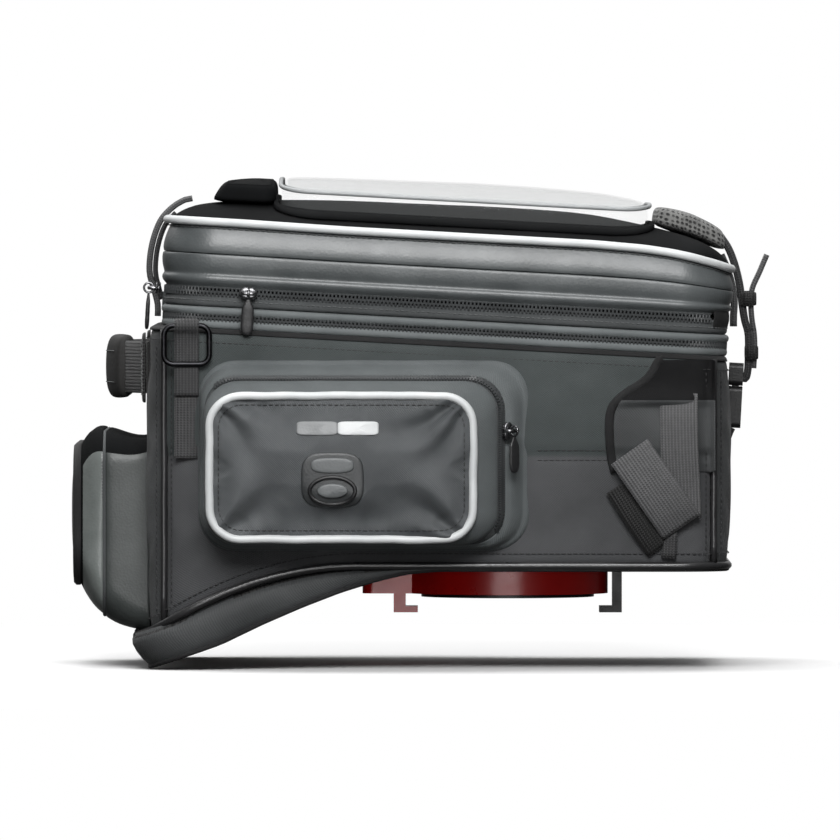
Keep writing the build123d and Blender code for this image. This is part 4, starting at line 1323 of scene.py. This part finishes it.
def side_pocket(side, word):
    foot = outline(*FOOT, 20)
    face = outline(*FACE, 17)
    count = len(foot)

    def half(name, profile, seed):
        rows = []
        for share, lift in profile:
            rows.append([gusset_point(k, share, lift + 0.35 * noise.noise(Vector((k / 6, share * 6, seed))),
                                      foot, face, side)[0] for k in range(count)])
        return grid(name, rows, GUSSET, close_u=True, flip=side < 0)

    inner_half = half(f"pocket_gusset_{word}",
                      [(-0.02, 1.0), (0.0, 1.6), (0.04, 2.0), (0.09, 1.6), (0.12, 0.9), (0.2, 1.5),
                                                (0.3, 1.9), (0.36, 1.5), (0.4, 0.8), (0.44, 0.3)], side)
    outer_half = half(f"pocket_gusset_outer_{word}",
                      [(0.57, 0.3), (0.6, 0.8), (0.65, 1.5), (0.75, 1.9), (0.87, 1.6),
                                                      (0.95, 1.0), (0.99, 0.5)], side + 4)
    rows = [[gusset_point(k, share, -0.2, foot, face, side)[0] for k in range(count)]
            for share in (0.42, 0.46, 0.5, 0.54, 0.59)]
    tape = grid(f"pocket_tape_{word}", rows, TAPE, close_u=True, flip=side < 0)
    both = joined(f"pocket_gusset_{word}", [inner_half, outer_half, tape])
    ride(smooth(thick(both, 1.0)), "bag", "shell_fabric", f"pocket_body_{word}")

    verts, faces = [], []
    teeth_from, teeth_to = 0, count
    for k in range(count):
        for half in (0.0, 0.5):
            for direction in (-1, 1):
                k2 = (k + 1) % count
                mix = half + (0.0 if direction > 0 else 0.25)
                a, na = gusset_point(k, 0.5, 0.5, foot, face, side)
                b, nb = gusset_point(k2, 0.5, 0.5, foot, face, side)
                if max(a.z, b.z) < 42 or a.x < -168:
                    continue
                centre = a.lerp(b, mix)
                tangent = (b - a).normalized()
                wide = Vector((0, side, 0)) - tangent * tangent.y
                slope = tangent.cross(na).normalized() * direction
                first = len(verts)
                for reach, size in ((-0.5, 0.62), (2.1, 0.5)):
                    for p, q in ((-1, -0.6), (1, -0.6), (1, 0.6), (-1, 0.6)):
                        verts.append((centre + tangent * p * size + na * q + slope * reach) * M)
                faces += [[first + i for i in f] for f in
                          ((0, 1, 2, 3), (4, 5, 6, 7), (0, 1, 5, 4), (1, 2, 6, 5), (2, 3, 7, 6),
                           (3, 0, 4, 7))]
    mesh = bpy.data.meshes.new(f"pocket_teeth_{word}")
    mesh.from_pydata(verts, [], faces)
    mesh.uv_layers.new(name="UVMap")
    bm = bmesh.new()
    bm.from_mesh(mesh)
    bmesh.ops.recalc_face_normals(bm, faces=bm.faces)
    bm.to_mesh(mesh)
    bm.free()
    ride(new_object(f"pocket_teeth_{word}", mesh, TEETH), "bag", "zip_tape")

    pocket_cover(side, word)


def pocket_cover(side, word):
    """The padded front of the side pocket, drawn tight between its corners."""
    body = f"cover_{word}"
    x0, x1, z0, z1 = FACE
    columns, levels = 84, 49
    cx, cz = (x0 + x1) / 2, (z0 + z1) / 2
    w, h, r = (x1 - x0) / 2 - 0.6, (z1 - z0) / 2 - 0.6, 16.4
    rows = []
    for j in range(levels):
        row = []
        for i in range(columns):
            u, v = 2 * i / (columns - 1) - 1, 2 * j / (levels - 1) - 1
            x, z = u * w, v * h
            over_x, over_z = abs(x) - (w - r), abs(z) - (h - r)
            if over_x > 0 and over_z > 0:
                reach = max(over_x, over_z)
                scale = reach / max(1e-6, math.hypot(over_x, over_z))
                x = math.copysign(w - r + over_x * scale, x)
                z = math.copysign(h - r + over_z * scale, z)
            dome_share = (1 - u ** 4) ** 0.8 * (1 - v * v) ** 0.8
            row.append((cx + x, side * (FACE_Y + 2.4 + 5.4 * dome_share), cz + z))
        rows.append(row)
    front = grid(f"pocket_front_{word}", rows, COVER_CLOTH, flip=side > 0)
    settle(front, rim_indices(columns, levels), 0.5, 0.012, 12, 1.4)
    crease_corners(front, side, cx, cz, w, h)
    outer = surface(front)
    ride(smooth(thick(front, 2.0, LINING)), body, "shell_fabric", f"pocket_cover_{word}")

    ring = outline(x0 + 0.4, x1 - 0.4, z0 + 0.4, z1 - 0.4, 17)
    path = [Vector((x + 0.35 * noise.noise(Vector((x / 14, z / 14, 2.0))), side * (FACE_Y + 2.6),
                    z + 0.5 * noise.noise(Vector((x / 16, z / 16, 6.0))))) for x, z, _, _ in ring]
    out = [Vector((nx, 0, nz)) for _, _, nx, nz in ring]
    ride(smooth(sweep(f"pocket_reflective_piping_{word}", path, out, round_section(2.65, 8), SILVER,
                      closed=True)), body,
         "reflective_piping", f"pocket_piping_{word}")

    for part, x, material in (("grey", -109.4, LABEL), ("bright", -86.0, SILVER)):
        bar = draped(f"label_bar_{part}_{word}", outer, side, x, 99.8, 11.7, 3.9, 0.9, material, 1.2)
        ride(bar, body, "reflective_piping")
    badge(side, word, body, outer)
    rows = outline(x0 + 5.5, x1 - 5.5, z0 + 5.5, z1 - 5.5, 13)
    thread = [(x, outer(x, z, side) + side * 0.1, z) for x, z, _, _ in rows]
    ride(stitches(f"pocket_thread_{word}", [thread + thread[:1]], [Vector((0, side, 0))], DARK_THREAD), body,
         "webbing")


def draped(name, outer, side, cx, cz, half_w, half_h, depth, material, corner):
    """A thin soft patch laid on a curved sheet, with rounded corners and its rim pressed in."""
    rows = []
    for share, level in ((1.0, -0.8), (1.0, depth * 0.5), (0.96, depth * 0.9), (0.88, depth),
                         (0.6, depth * 1.05),
                         (0.3, depth * 1.05), (0.02, depth * 1.05)):
        row = []
        for k in range(48):
            a = 2 * math.pi * (k + 0.5) / 48
            power = 2 / max(2.0, 2 * half_h / corner)
            x = cx + half_w * share * math.copysign(abs(math.cos(a)) ** power, math.cos(a))
            z = cz + half_h * share * math.copysign(abs(math.sin(a)) ** power, math.sin(a))
            row.append((x, outer(x, z, side) + side * level, z))
        rows.append(row)
    return grid(name, rows, material, close_u=True, cap=True, flip=side > 0)


def crease_corners(front, side, cx, cz, w, h):
    """Folds that run from the cover's corners towards the badge, where the cloth is pulled tight."""
    folds = {(-1, 1): ((0.38, -1.2, 0.10), (0.62, 1.9, 0.16), (0.95, -2.0, 0.12), (1.2, 0.9, 0.13)),
             (1, 1): ((0.30, 1.1, 0.12), (0.52, -1.5, 0.09), (0.72, 1.4, 0.10), (1.0, -1.2, 0.10),
                      (1.25, 0.8, 0.10)),
             (1, -1): ((0.28, 2.2, 0.13), (0.52, -1.7, 0.13), (0.80, 1.2, 0.12), (1.15, -0.8, 0.12)),
             (-1, -1): ((0.35, 0.9, 0.12), (0.60, -1.9, 0.16), (0.9, 1.3, 0.13), (1.2, -0.8, 0.10))}
    for vertex in front.data.vertices:
        x, z = vertex.co.x / M - cx, vertex.co.z / M - cz
        depth = 0.0
        for (sx, sz), group in folds.items():
            dx, dz = (sx * (w + 3) - x) * sx, (sz * (h + 3) - z) * sz
            reach, angle = math.hypot(dx, dz), math.atan2(dz, dx)
            angle += 0.05 * math.sin(reach / 9 + sx)
            fade = (1 - math.exp(-(reach / 15) ** 2)) * math.exp(-(reach / 50) ** 3)
            for at, size, wide in group:
                near = abs(angle - at) / wide
                if near < 2.5:
                    depth += fade * size * (1 - near / 2.5) ** 2 * (1 + near)
        sag = -2.2 * math.exp(-((x - 2) / 38) ** 2
                              - ((z + 29) / 7) ** 2) + 0.8 * math.exp(-((z + 17) / 6) ** 2 - (x / 30) ** 2)
        vertex.co.y += side * (1.9 * depth + sag) * M


def badge(side, word, body, outer):
    """Plain moulded rubber badge: a dark plate, a lighter bar over it and a ring round a small dome below."""
    plate = draped(f"badge_plate_{word}", outer, side, -100.6, 70.4, 18.0, 15.8, 1.2, PLATE, 9.0)
    bar = draped(f"badge_bar_{word}", outer, side, -100.6, 78.6, 12.6, 4.4, 2.3, LABEL_DARK, 3.0)
    middle = draped(f"badge_middle_{word}", outer, side, -100.6, 64.2, 9.0, 4.2, 2.5, LABEL_DARK, 4.0)
    path = []
    for k in range(36):
        a = 2 * math.pi * k / 36
        x, z = -100.6 + 13.0 * math.cos(a), 64.2 + 7.8 * math.sin(a)
        path.append(Vector((x, outer(x, z, side) + side * 1.6, z)))
    rim = sweep(f"badge_rim_{word}", path, Vector((0, side, 0)), round_section(1.3, 8), RUBBER, closed=True)
    made = joined(f"pocket_badge_{word}", [plate, bar, middle, rim])
    fix_normals(made)
    ride(smooth(made), body, "pull_rubber")


# ---------------------------------------------------------------- rear pocket
def rear_ring(x, low, high, half_w, radius):
    """Points round the rear pocket at depth x: a rounded rectangle in Y and Z."""
    ring = []
    mid, h = (low + high) / 2, (high - low) / 2
    counts = (30, 18, 30, 18)
    corners = ((half_w - radius, h - radius, 0), (-half_w + radius, h - radius, 90),
               (-half_w + radius, -h + radius, 180),
               (half_w - radius, -h + radius, 270))
    for number, (cy, cz, start) in enumerate(corners):
        for k in range(8):
            a = math.radians(start + 90 * k / 8)
            ring.append((x, cy + radius * math.cos(a), mid + cz + radius * math.sin(a)))
        ny, nz, _ = corners[(number + 1) % 4]
        a = math.radians(start + 90)
        for k in range(counts[number]):
            t = k / counts[number]
            ring.append((x, cy + (ny - cy) * t + radius * math.cos(a), mid + cz + (nz - cz) * t
                         + radius * math.sin(a)))
    crown = 0.07 * max(0.0, min(1.0, (-232 - x) / 10))
    return [(x, y * (1 - crown * ((z - 22) / 62) ** 2), z) for x, y, z in ring]


def rear_pocket():
    body_rows = [(-205.4, -18.5, 93.0, 91.5, 12), (-207, -18.2, 93.2, 92.4, 13),
                 (-209, -17.8, 92.6, 91.8, 13),
                 (-215, -16.6, 92.4, 91.9, 15), (-221, -15.2, 94.0, 92.2, 17), (-226.5, -13, 96.0, 92.2, 19),
                 (-230.6, -10.4, 97.2, 91.6, 20), (-231.5, -9.6, 96.8, 90.8, 20)]
    rows = [rear_ring(*row) for row in body_rows]
    base = grid("rear_pocket_gusset", rows, EVA, close_u=True, flip=False)
    repaint(base, SHADED_BLACK_CLOTH, len(rows[0]), lambda column, row: 1 < column < 44)
    ride(smooth(thick(base, 1.6, LINING)), "bag", "shell_fabric", "rear_pocket_body")
    cover_rows = [(-232.4, -8.6, 97.2, 90.4, 20), (-233.2, -8.0, 97.8, 91.2, 20), (-237, -5.0, 98.4, 91, 21),
                  (-241, 0.0, 96.4, 89, 22), (-244.6, 6.0, 91.2, 86, 23), (-246.8, 11.0, 86.6, 83.4, 23)]
    rows = [rear_ring(*row) for row in cover_rows]
    # The cover ring takes the lit copy of the pocket skin: painted highlight.
    shell = grid("rear_pocket_shell", rows, EVA_LIT, close_u=True, flip=False)
    repaint(shell, SHADED_BLACK_CLOTH, len(rows[0]), lambda column, row: 1 < column < 44 or row > 3)
    ride(smooth(thick(shell, 1.6, LINING)), "rear_cover", "shell_fabric", "rear_pocket_cover")
    face_rows = [(-246.9, 12.0, 85.6, 82, 22), (-248.4, 14.6, 83.0, 80, 21), (-249.6, 19.0, 79.4, 76, 19),
                 (-250.6, 27, 74.0, 69, 16), (-251.2, 36, 66, 58, 12), (-251.6, 46, 57, 40, 4),
                 (-251.7, 50.9, 51.1, 20, 0.05)]
    rows = [rear_ring(*row) for row in face_rows]
    panel = grid("rear_pocket_face", rows, PANEL, close_u=True, flip=False, cap=True)
    ride(smooth(thick(panel, 1.4)), "rear_cover", "shell_fabric")
    ring = rear_ring(-247.4, 10.6, 87.2, 83.2, 23)
    path = [Vector(p) for p in ring]
    out = [(p - Vector((-230, 0, 50))).normalized() for p in path]
    ride(sweep("rear_pocket_piping", path, out, round_section(2.8, 8), BINDING, closed=True), "rear_cover",
         "dark_piping")

    line = [Vector(p) for p in rear_ring(-231.9, -8.8, 96.0, 90.0, 20)]
    out = [(p - Vector((-231.9, 0, 45))).normalized() for p in line]
    ride(sweep("rear_pocket_zip_tape", line, out, round_section(1.2, 8), TAPE, closed=True), "bag",
         "zip_tape")

    verts, faces = [], []
    for k, a in enumerate(line):
        b = line[(k + 1) % len(line)]
        if max(a.z, b.z) < 12:
            continue
        tangent = (b - a).normalized()
        normal = tangent.cross(Vector((1, 0, 0))).normalized()
        if normal.dot(a - Vector((-232, 0, 45))) < 0:
            normal = -normal
        parts = max(1, round((b - a).length / PITCH))
        for part in range(parts):
            centre = a.lerp(b, (part + 0.5) / parts)
            first = len(verts)
            for reach in (-1.6, 1.6):
                for p, q in ((-0.6, -0.6), (0.6, -0.6), (0.6, 0.6), (-0.6, 0.6)):
                    verts.append((centre + tangent * p + normal * q + Vector((reach, 0, 0))) * M)
            faces += [[first + i for i in f] for f in
                      ((0, 1, 2, 3), (4, 5, 6, 7), (0, 1, 5, 4), (1, 2, 6, 5), (2, 3, 7, 6), (3, 0, 4, 7))]
    mesh = bpy.data.meshes.new("rear_pocket_teeth")
    mesh.from_pydata(verts, [], faces)
    mesh.uv_layers.new(name="UVMap")
    bm = bmesh.new()
    bm.from_mesh(mesh)
    bmesh.ops.recalc_face_normals(bm, faces=bm.faces)
    bm.to_mesh(mesh)
    bm.free()
    ride(new_object("rear_pocket_teeth", mesh, TEETH), "bag", "zip_tape")


# ---------------------------------------------------------------- webbing loops on the sides
FLAP_EDGE = [(146, 88), (138, 85.5), (130, 81), (124.5, 75), (119.5, 67), (112.5, 59.5), (104, 57.4),
             (92, 57.6),
             (82, 58.6), (74, 60.5)]     # Z and X of the flap's rear edge, from the top seam down


def side_loops():
    """Stowed 30 mm webbing: it comes down from under a flap, folds and runs back up at a slant."""
    made = []
    for side in (-1, 1):
        def at(x, z, off):
            return (x, SKINS[side](x, z, side) + side * off, z)
        made.append(webbing("loop_down", [at(97, 119, 0.4), at(97, 113.5, 1.2), at(97, 105, 3.6),
                                          at(97.4, 86, 4.2),
                                          at(98.4, 66, 2.6), at(99, 48, 2.2)], (0, side, 0), 21.5,
                                          material=WEBBING))
        made.append(webbing("loop_slant",
                            [at(98.4, 43.2, 3.4), at(92.4, 52, 6.6), at(84, 64, 8.6), at(76, 75.6, 8.4),
                                           at(68.7, 86, 6.6)], (0, side, 0), 25.5, 2.2, WEBBING))
        # Painted shadow: a near-black strip of webbing under the slanted band's lower edge, where the band
        # casts its shadow on the wall.
        made.append(webbing("loop_under_shadow",
                            [at(87, 31.5, 1.4), at(82.4, 38, 2.6), at(74.5, 49.6, 3.8), at(68, 60, 3.6),
                                           at(63.6, 67, 2.0)], (0, side, 0), 19, 2.2, PAINTED_SHADOW_WEBBING))
        made.append(webbing("loop_tail", [at(92, 40, 1.8), at(91.6, 32, 1.6), at(91.2, 25, 1.4)],
                            (0, side, 0), 8.5,
                            material=DARK_WEBBING))
    ride(joined("side_loop_webbing", made), "bag", "webbing", "side_loops")
    levels = [146 - 72 * k / 40 for k in range(41)]
    edge = sorted((z, x) for z, x in FLAP_EDGE)
    for side, word in ((-1, "right"), (1, "left")):
        rows = []
        for z in levels:
            x0, x1 = between_points(edge, z), 117.6
            tuck = between_points([(74, 0.15), (104, 0.2), (111.5, 0.25), (114.5, 1.6), (118.5, 1.2),
                                   (122.5, 0.4), (126, 0.1),
                                    (146, 0.0)], z)
            row = []
            for i in range(19):
                u = i / 18
                swell = (1 - (2 * u - 1) ** 4) ** 0.7 * tuck * (2.4 + 1.6 * (1 - u))
                fold = 0.5 * math.sin(u * 9 + z / 7) * (1 - (2 * u - 1) ** 2)
                x, level = x0 + (x1 - x0) * u, min(z, seam_height(x1) - 1.2)
                row.append((x, SKINS[side](x, level, side) + side * (0.6 + swell * 0.8 + fold * tuck), level))
            rows.append(row)
        flap = grid(f"loop_flap_{word}", rows, PANEL, flip=side < 0)
        flap.data.materials.append(HOOD_CLOTH_AND_SHADE)
        # The flap's upper part is painted near-black: partly dark gusset cloth, partly painted shade where it
        # tucks under the rim band.
        for polygon in flap.data.polygons:
            if polygon.center.z > 0.1155:
                polygon.material_index = 1
        ride(smooth(thick(flap, 1.1)), "bag", "shell_fabric")
        # The black binding along the flap's edge is partly trim and partly painted shadow for the dark line
        # along that edge.
        stand = [(74, 1.4), (116, 1.3), (123, 0.4), (146, 0.3)]
        path = [Vector((x, SKINS[side](x, min(z, 138), side) + side * between_points(stand, z),
                        min(z, 138.5))) for z, x in FLAP_EDGE]
        path = spline(path, 3.0)
        binding = sweep(f"loop_flap_binding_{word}", path, Vector((0, side, 0)),
                        [(a * 1.9, b * 0.8) for a, b in round_section(1.3, 8)], BINDING)
        ride(binding, "bag", "dark_piping")


# ---------------------------------------------------------------- sliders and pullers
def facing(origin, along, out, matrix=LEVEL):
    x, z = Vector(along).normalized(), Vector(out).normalized()
    y = z.cross(x)
    turn = Matrix((x, y, z)).transposed().to_4x4()
    return matrix @ Matrix.Translation(origin) @ turn


SLOPE = (0.6937, -0.7203)
SLIDERS = {
    "main_side": (facing((-150, -TOP_HALF_W - 0.2, MAIN_Z), (1, 0, 0), (0, -1, 0), UPPER), 0),
    "main_rear": (facing((TOP_REAR_X - 1.3, -100, MAIN_Z), (0, -1, 0), (-1, 0, 0), UPPER), 0),
    "expansion": (facing((22, TOP_HALF_W + 0.2, EXPAND_Z), (-1, 0, 0), (0, 1, 0), UPPER), 0),
    "pocket_right": (facing((-2.1, -153.7, 98), (0, 0, 1), (*SLOPE, 0)), -90),
    "pocket_left": (facing((-2.1, 153.7, 98), (0, 0, 1), (SLOPE[0], -SLOPE[1], 0)), -90),
    "rear_pocket": (facing((-230, 92.4, 74), (0, 0, 1), (0, 1, 0)), -90),
}


def lathe_block(name, points, z0, z1, material, matrix, soften=0.5):
    """A flat plate from an outline in X and Y, with softened edges."""
    def inset(scale, z):
        return [matrix @ Vector((x * scale, y * scale, z)) for x, y in points]
    size = max(max(abs(x), abs(y)) for x, y in points)
    s = 1 - soften / size
    rows = [inset(s * 0.5, z0), inset(s, z0), inset(1, z0 + soften), inset(1, z1 - soften), inset(s, z1),
            inset(s * 0.5, z1)]
    return grid(name, rows, material, close_u=True, cap=True)


def slider_piece(stem, matrix, turn):
    shield = [(5.4 * math.cos(a) * (1.0 if math.cos(a) < 0 else 0.92),
               4.3 * math.sin(a) * (0.78 + 0.22 * abs(math.cos(a))))
              for a in (2 * math.pi * k / 28 for k in range(28))]
    plates = [lathe_block("plate", shield, 2.3, 3.4, SLIDER_METAL, matrix),
              lathe_block("plate", shield, 0.6, 1.4, SLIDER_METAL, matrix)]
    neck = [(1.6 * math.cos(a) + 2.6, 1.2 * math.sin(a)) for a in (2 * math.pi * k / 12 for k in range(12))]
    plates.append(lathe_block("neck", neck, 1.2, 2.6, SLIDER_METAL, matrix, 0.2))
    spin = matrix @ Matrix.Rotation(math.radians(turn), 4, "Z")
    arch = [Vector((x, 0, z)) for x,
            z in ((-3.9, 3.0), (-3.9, 6.0), (-3.2, 7.3), (0, 7.7), (3.2, 7.3), (3.9, 6.0), (3.9, 3.0))]
    path = [spin @ p for p in spline(arch, 1.0)]
    across = (spin.to_3x3() @ Vector((0, 1, 0))).normalized()
    plates.append(sweep("bridge", path, across, [(a * 0.7, b * 1.2) for a, b in round_section(0.9, 8)],
                        SLIDER_METAL))
    made = joined(f"{stem}_slider_metal", plates)
    fix_normals(made)
    return ride(made, f"{stem}_slider_body", "black_metal", f"{stem}_slider")


def puller_piece(stem, matrix, turn):
    spin = matrix @ Matrix.Rotation(math.radians(turn), 4, "Z")
    eye = [Vector((0, 2.8 * math.cos(a), 7.4 + 2.8 * math.sin(a)))
           for a in (2 * math.pi * k / 20 for k in range(20))]
    path = [spin @ p for p in eye]
    across = (spin.to_3x3() @ Vector((1, 0, 0))).normalized()
    parts = [sweep("eye", path, across, round_section(0.65, 8), SLIDER_METAL, closed=True)]
    tab_rows = []
    for y, w, t in ((-3.0, 1.3, 0.7), (-5.0, 1.6, 0.8), (-7.0, 3.0, 1.1), (-9.0, 3.8, 1.3), (-12.0, 3.4, 1.2),
                    (-14, 3.9, 1.4),
                    (-16, 3.4, 1.2), (-18, 3.9, 1.4), (-20, 3.6, 1.3), (-22.4, 3.0, 1.2), (-24, 1.6, 0.8)):
        ring = []
        for q in range(14):
            a = 2 * math.pi * q / 14
            ca, sa = math.cos(a), math.sin(a)
            ring.append(spin @ Vector((w * math.copysign(abs(ca) ** 0.75, ca), y, 7.4
                                       + t * math.copysign(abs(sa) ** 0.75, sa))))
        tab_rows.append(ring)
    tab = grid("tab", tab_rows, RUBBER, close_u=True, cap=True)
    parts.append(smooth(tab))
    applied(tab)
    made = joined(f"{stem}_pull_tab", parts)
    fix_normals(made)
    return ride(made, f"{stem}_puller_body", "pull_rubber", f"{stem}_puller")


def sliders():
    for stem, (matrix, turn) in SLIDERS.items():
        slider_piece(stem, matrix, turn)
        puller_piece(stem, matrix, turn)


# ---------------------------------------------------------------- rigid CAD pieces keep their shape
def finish_cad():
    finishes = {
        "base_board": LINING, "ring_housing": NYLON, "release_slide": RED, "release_springs": STEEL,
        "ring_backing_plate": ALUMINIUM, "ring_screws": STEEL, "d_ring_right": BLACK_METAL,
        "d_ring_left": BLACK_METAL,
        "front_buckle_socket": NYLON, "front_buckle_plug": NYLON,
    }
    for node, material in finishes.items():
        piece = nodes[node]
        piece.data.materials.clear()
        piece.data.materials.append(material)
        if node in ("release_slide", "ring_housing", "front_buckle_socket", "front_buckle_plug"):
            soften = piece.modifiers.new("edges", "BEVEL")
            soften.width = 0.0007
            soften.segments = 2
            soften.limit_method = "ANGLE"
            soften.harden_normals = True
    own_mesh(nodes["release_springs"])


# ---------------------------------------------------------------- studio
def studio():
    scene = bpy.context.scene
    low, high = cad_box
    centre = (low + high) / 2
    floor_mesh = bpy.data.meshes.new("floor")
    size = 30.0
    z = low.z - 0.001
    floor_mesh.from_pydata([(-size, -size, z), (size, -size, z), (size, size, z), (-size, size, z)], [],
                           [(0, 1, 2, 3)])
    ground = Nodes("floor")
    place = ground.add("ShaderNodeTexCoord").outputs["Object"]
    reach = ground.add("ShaderNodeVectorMath", operation="LENGTH")
    ground.link(place, reach.inputs[0])
    ground.finish((0.9, 0.9, 0.9, 1), None, 0.8, Emission_Color=(1, 1, 1, 1))
    white = ground.add("ShaderNodeEmission")
    far = ground.add("ShaderNodeMixShader")
    ground.link(ground.between(reach.outputs["Value"], 0.25, 0.9), far.inputs[0])
    ground.link(ground.shader.outputs[0], far.inputs[1])
    ground.link(white.outputs[0], far.inputs[2])
    ground.link(far.outputs[0], ground.tree.nodes["Material Output"].inputs[0])
    floor = new_object("floor", floor_mesh, ground.material)
    floor.visible_diffuse = False
    floor.visible_glossy = False

    world = bpy.data.worlds.new("studio")
    world.use_nodes = True
    tree = world.node_tree
    soft, backdrop = tree.nodes["Background"], tree.nodes.new("ShaderNodeBackground")
    backdrop.inputs[0].default_value = (1.0, 1.0, 1.0, 1.0)
    soft.inputs[0].default_value = (1.0, 1.0, 1.0, 1.0)
    toward = tree.nodes.new("ShaderNodeTexCoord")
    split = tree.nodes.new("ShaderNodeSeparateXYZ")
    rise = tree.nodes.new("ShaderNodeMapRange")
    for key, value in (("From Min", -0.45), ("From Max", 0.5), ("To Min", 0.1), ("To Max", 0.62)):
        rise.inputs[key].default_value = value
    tree.links.new(toward.outputs["Generated"], split.inputs[0])
    tree.links.new(split.outputs[2], rise.inputs["Value"])
    turned = tree.nodes.new("ShaderNodeMath")
    turned.operation = "ABSOLUTE"
    flags = tree.nodes.new("ShaderNodeMapRange")
    for key, value in (("From Min", 0.2), ("From Max", 0.68), ("To Min", 1.0), ("To Max", 0.14)):
        flags.inputs[key].default_value = value
    product = tree.nodes.new("ShaderNodeMath")
    product.operation = "MULTIPLY"
    tree.links.new(split.outputs[0], turned.inputs[0])
    tree.links.new(turned.outputs[0], flags.inputs["Value"])
    tree.links.new(rise.outputs[0], product.inputs[0])
    tree.links.new(flags.outputs[0], product.inputs[1])
    tree.links.new(product.outputs[0], soft.inputs[1])
    mix, path = tree.nodes.new("ShaderNodeMixShader"), tree.nodes.new("ShaderNodeLightPath")
    tree.links.new(path.outputs["Is Camera Ray"], mix.inputs[0])
    tree.links.new(soft.outputs[0], mix.inputs[1])
    tree.links.new(backdrop.outputs[0], mix.inputs[2])
    tree.links.new(mix.outputs[0], tree.nodes["World Output"].inputs[0])
    scene.world = world

    sun = bpy.data.lights.new("overhead", "SUN")
    sun.energy = 2.1
    sun.angle = math.radians(50)
    sky = bpy.data.objects.new("overhead", sun)
    sky.rotation_euler = (math.radians(-14), math.radians(-8), 0)
    scene.collection.objects.link(sky)

    def area(name, place, aim, size, power):
        light = bpy.data.lights.new(name, "AREA")
        light.shape = "RECTANGLE"
        light.size, light.size_y = size
        light.energy = power
        lamp = bpy.data.objects.new(name, light)
        lamp.location = place
        lamp.rotation_mode = "QUATERNION"
        lamp.rotation_quaternion = (Vector(aim) - Vector(place)).to_track_quat("-Z", "Y")
        scene.collection.objects.link(lamp)

    area("key", (-0.05, -2.0, 1.3), centre, (1.3, 0.9), 46)
    area("fill", (-0.1, -3.0, -0.1), centre, (1.6, 0.5), 13)
    area("rear", (-1.5, 1.2, 1.4), centre, (1.4, 1.2), 8)

    camera = bpy.data.cameras.new("camera")
    camera.lens = 740
    camera.sensor_width = 36
    camera.clip_end = 100
    view = bpy.data.objects.new("camera", camera)
    elevation = math.radians(0.8)
    distance = 10.0
    view.location = centre + Vector((0, -math.cos(elevation), math.sin(elevation))) * distance
    view.rotation_mode = "QUATERNION"
    view.rotation_quaternion = (centre - view.location).to_track_quat("-Z", "Y")
    scene.collection.objects.link(view)
    scene.camera = view
    scene.view_settings.view_transform = "Standard"


# ---------------------------------------------------------------- build
studio()
body_walls()
body_trim()
base_pad()
zips()
bellows()
hinge_strip()
lid()
map_pocket()
straps()
d_ring_tabs()
handle()
side_pocket(-1, "right")
side_pocket(1, "left")
rear_pocket()
side_loops()
sliders()
finish_cad()
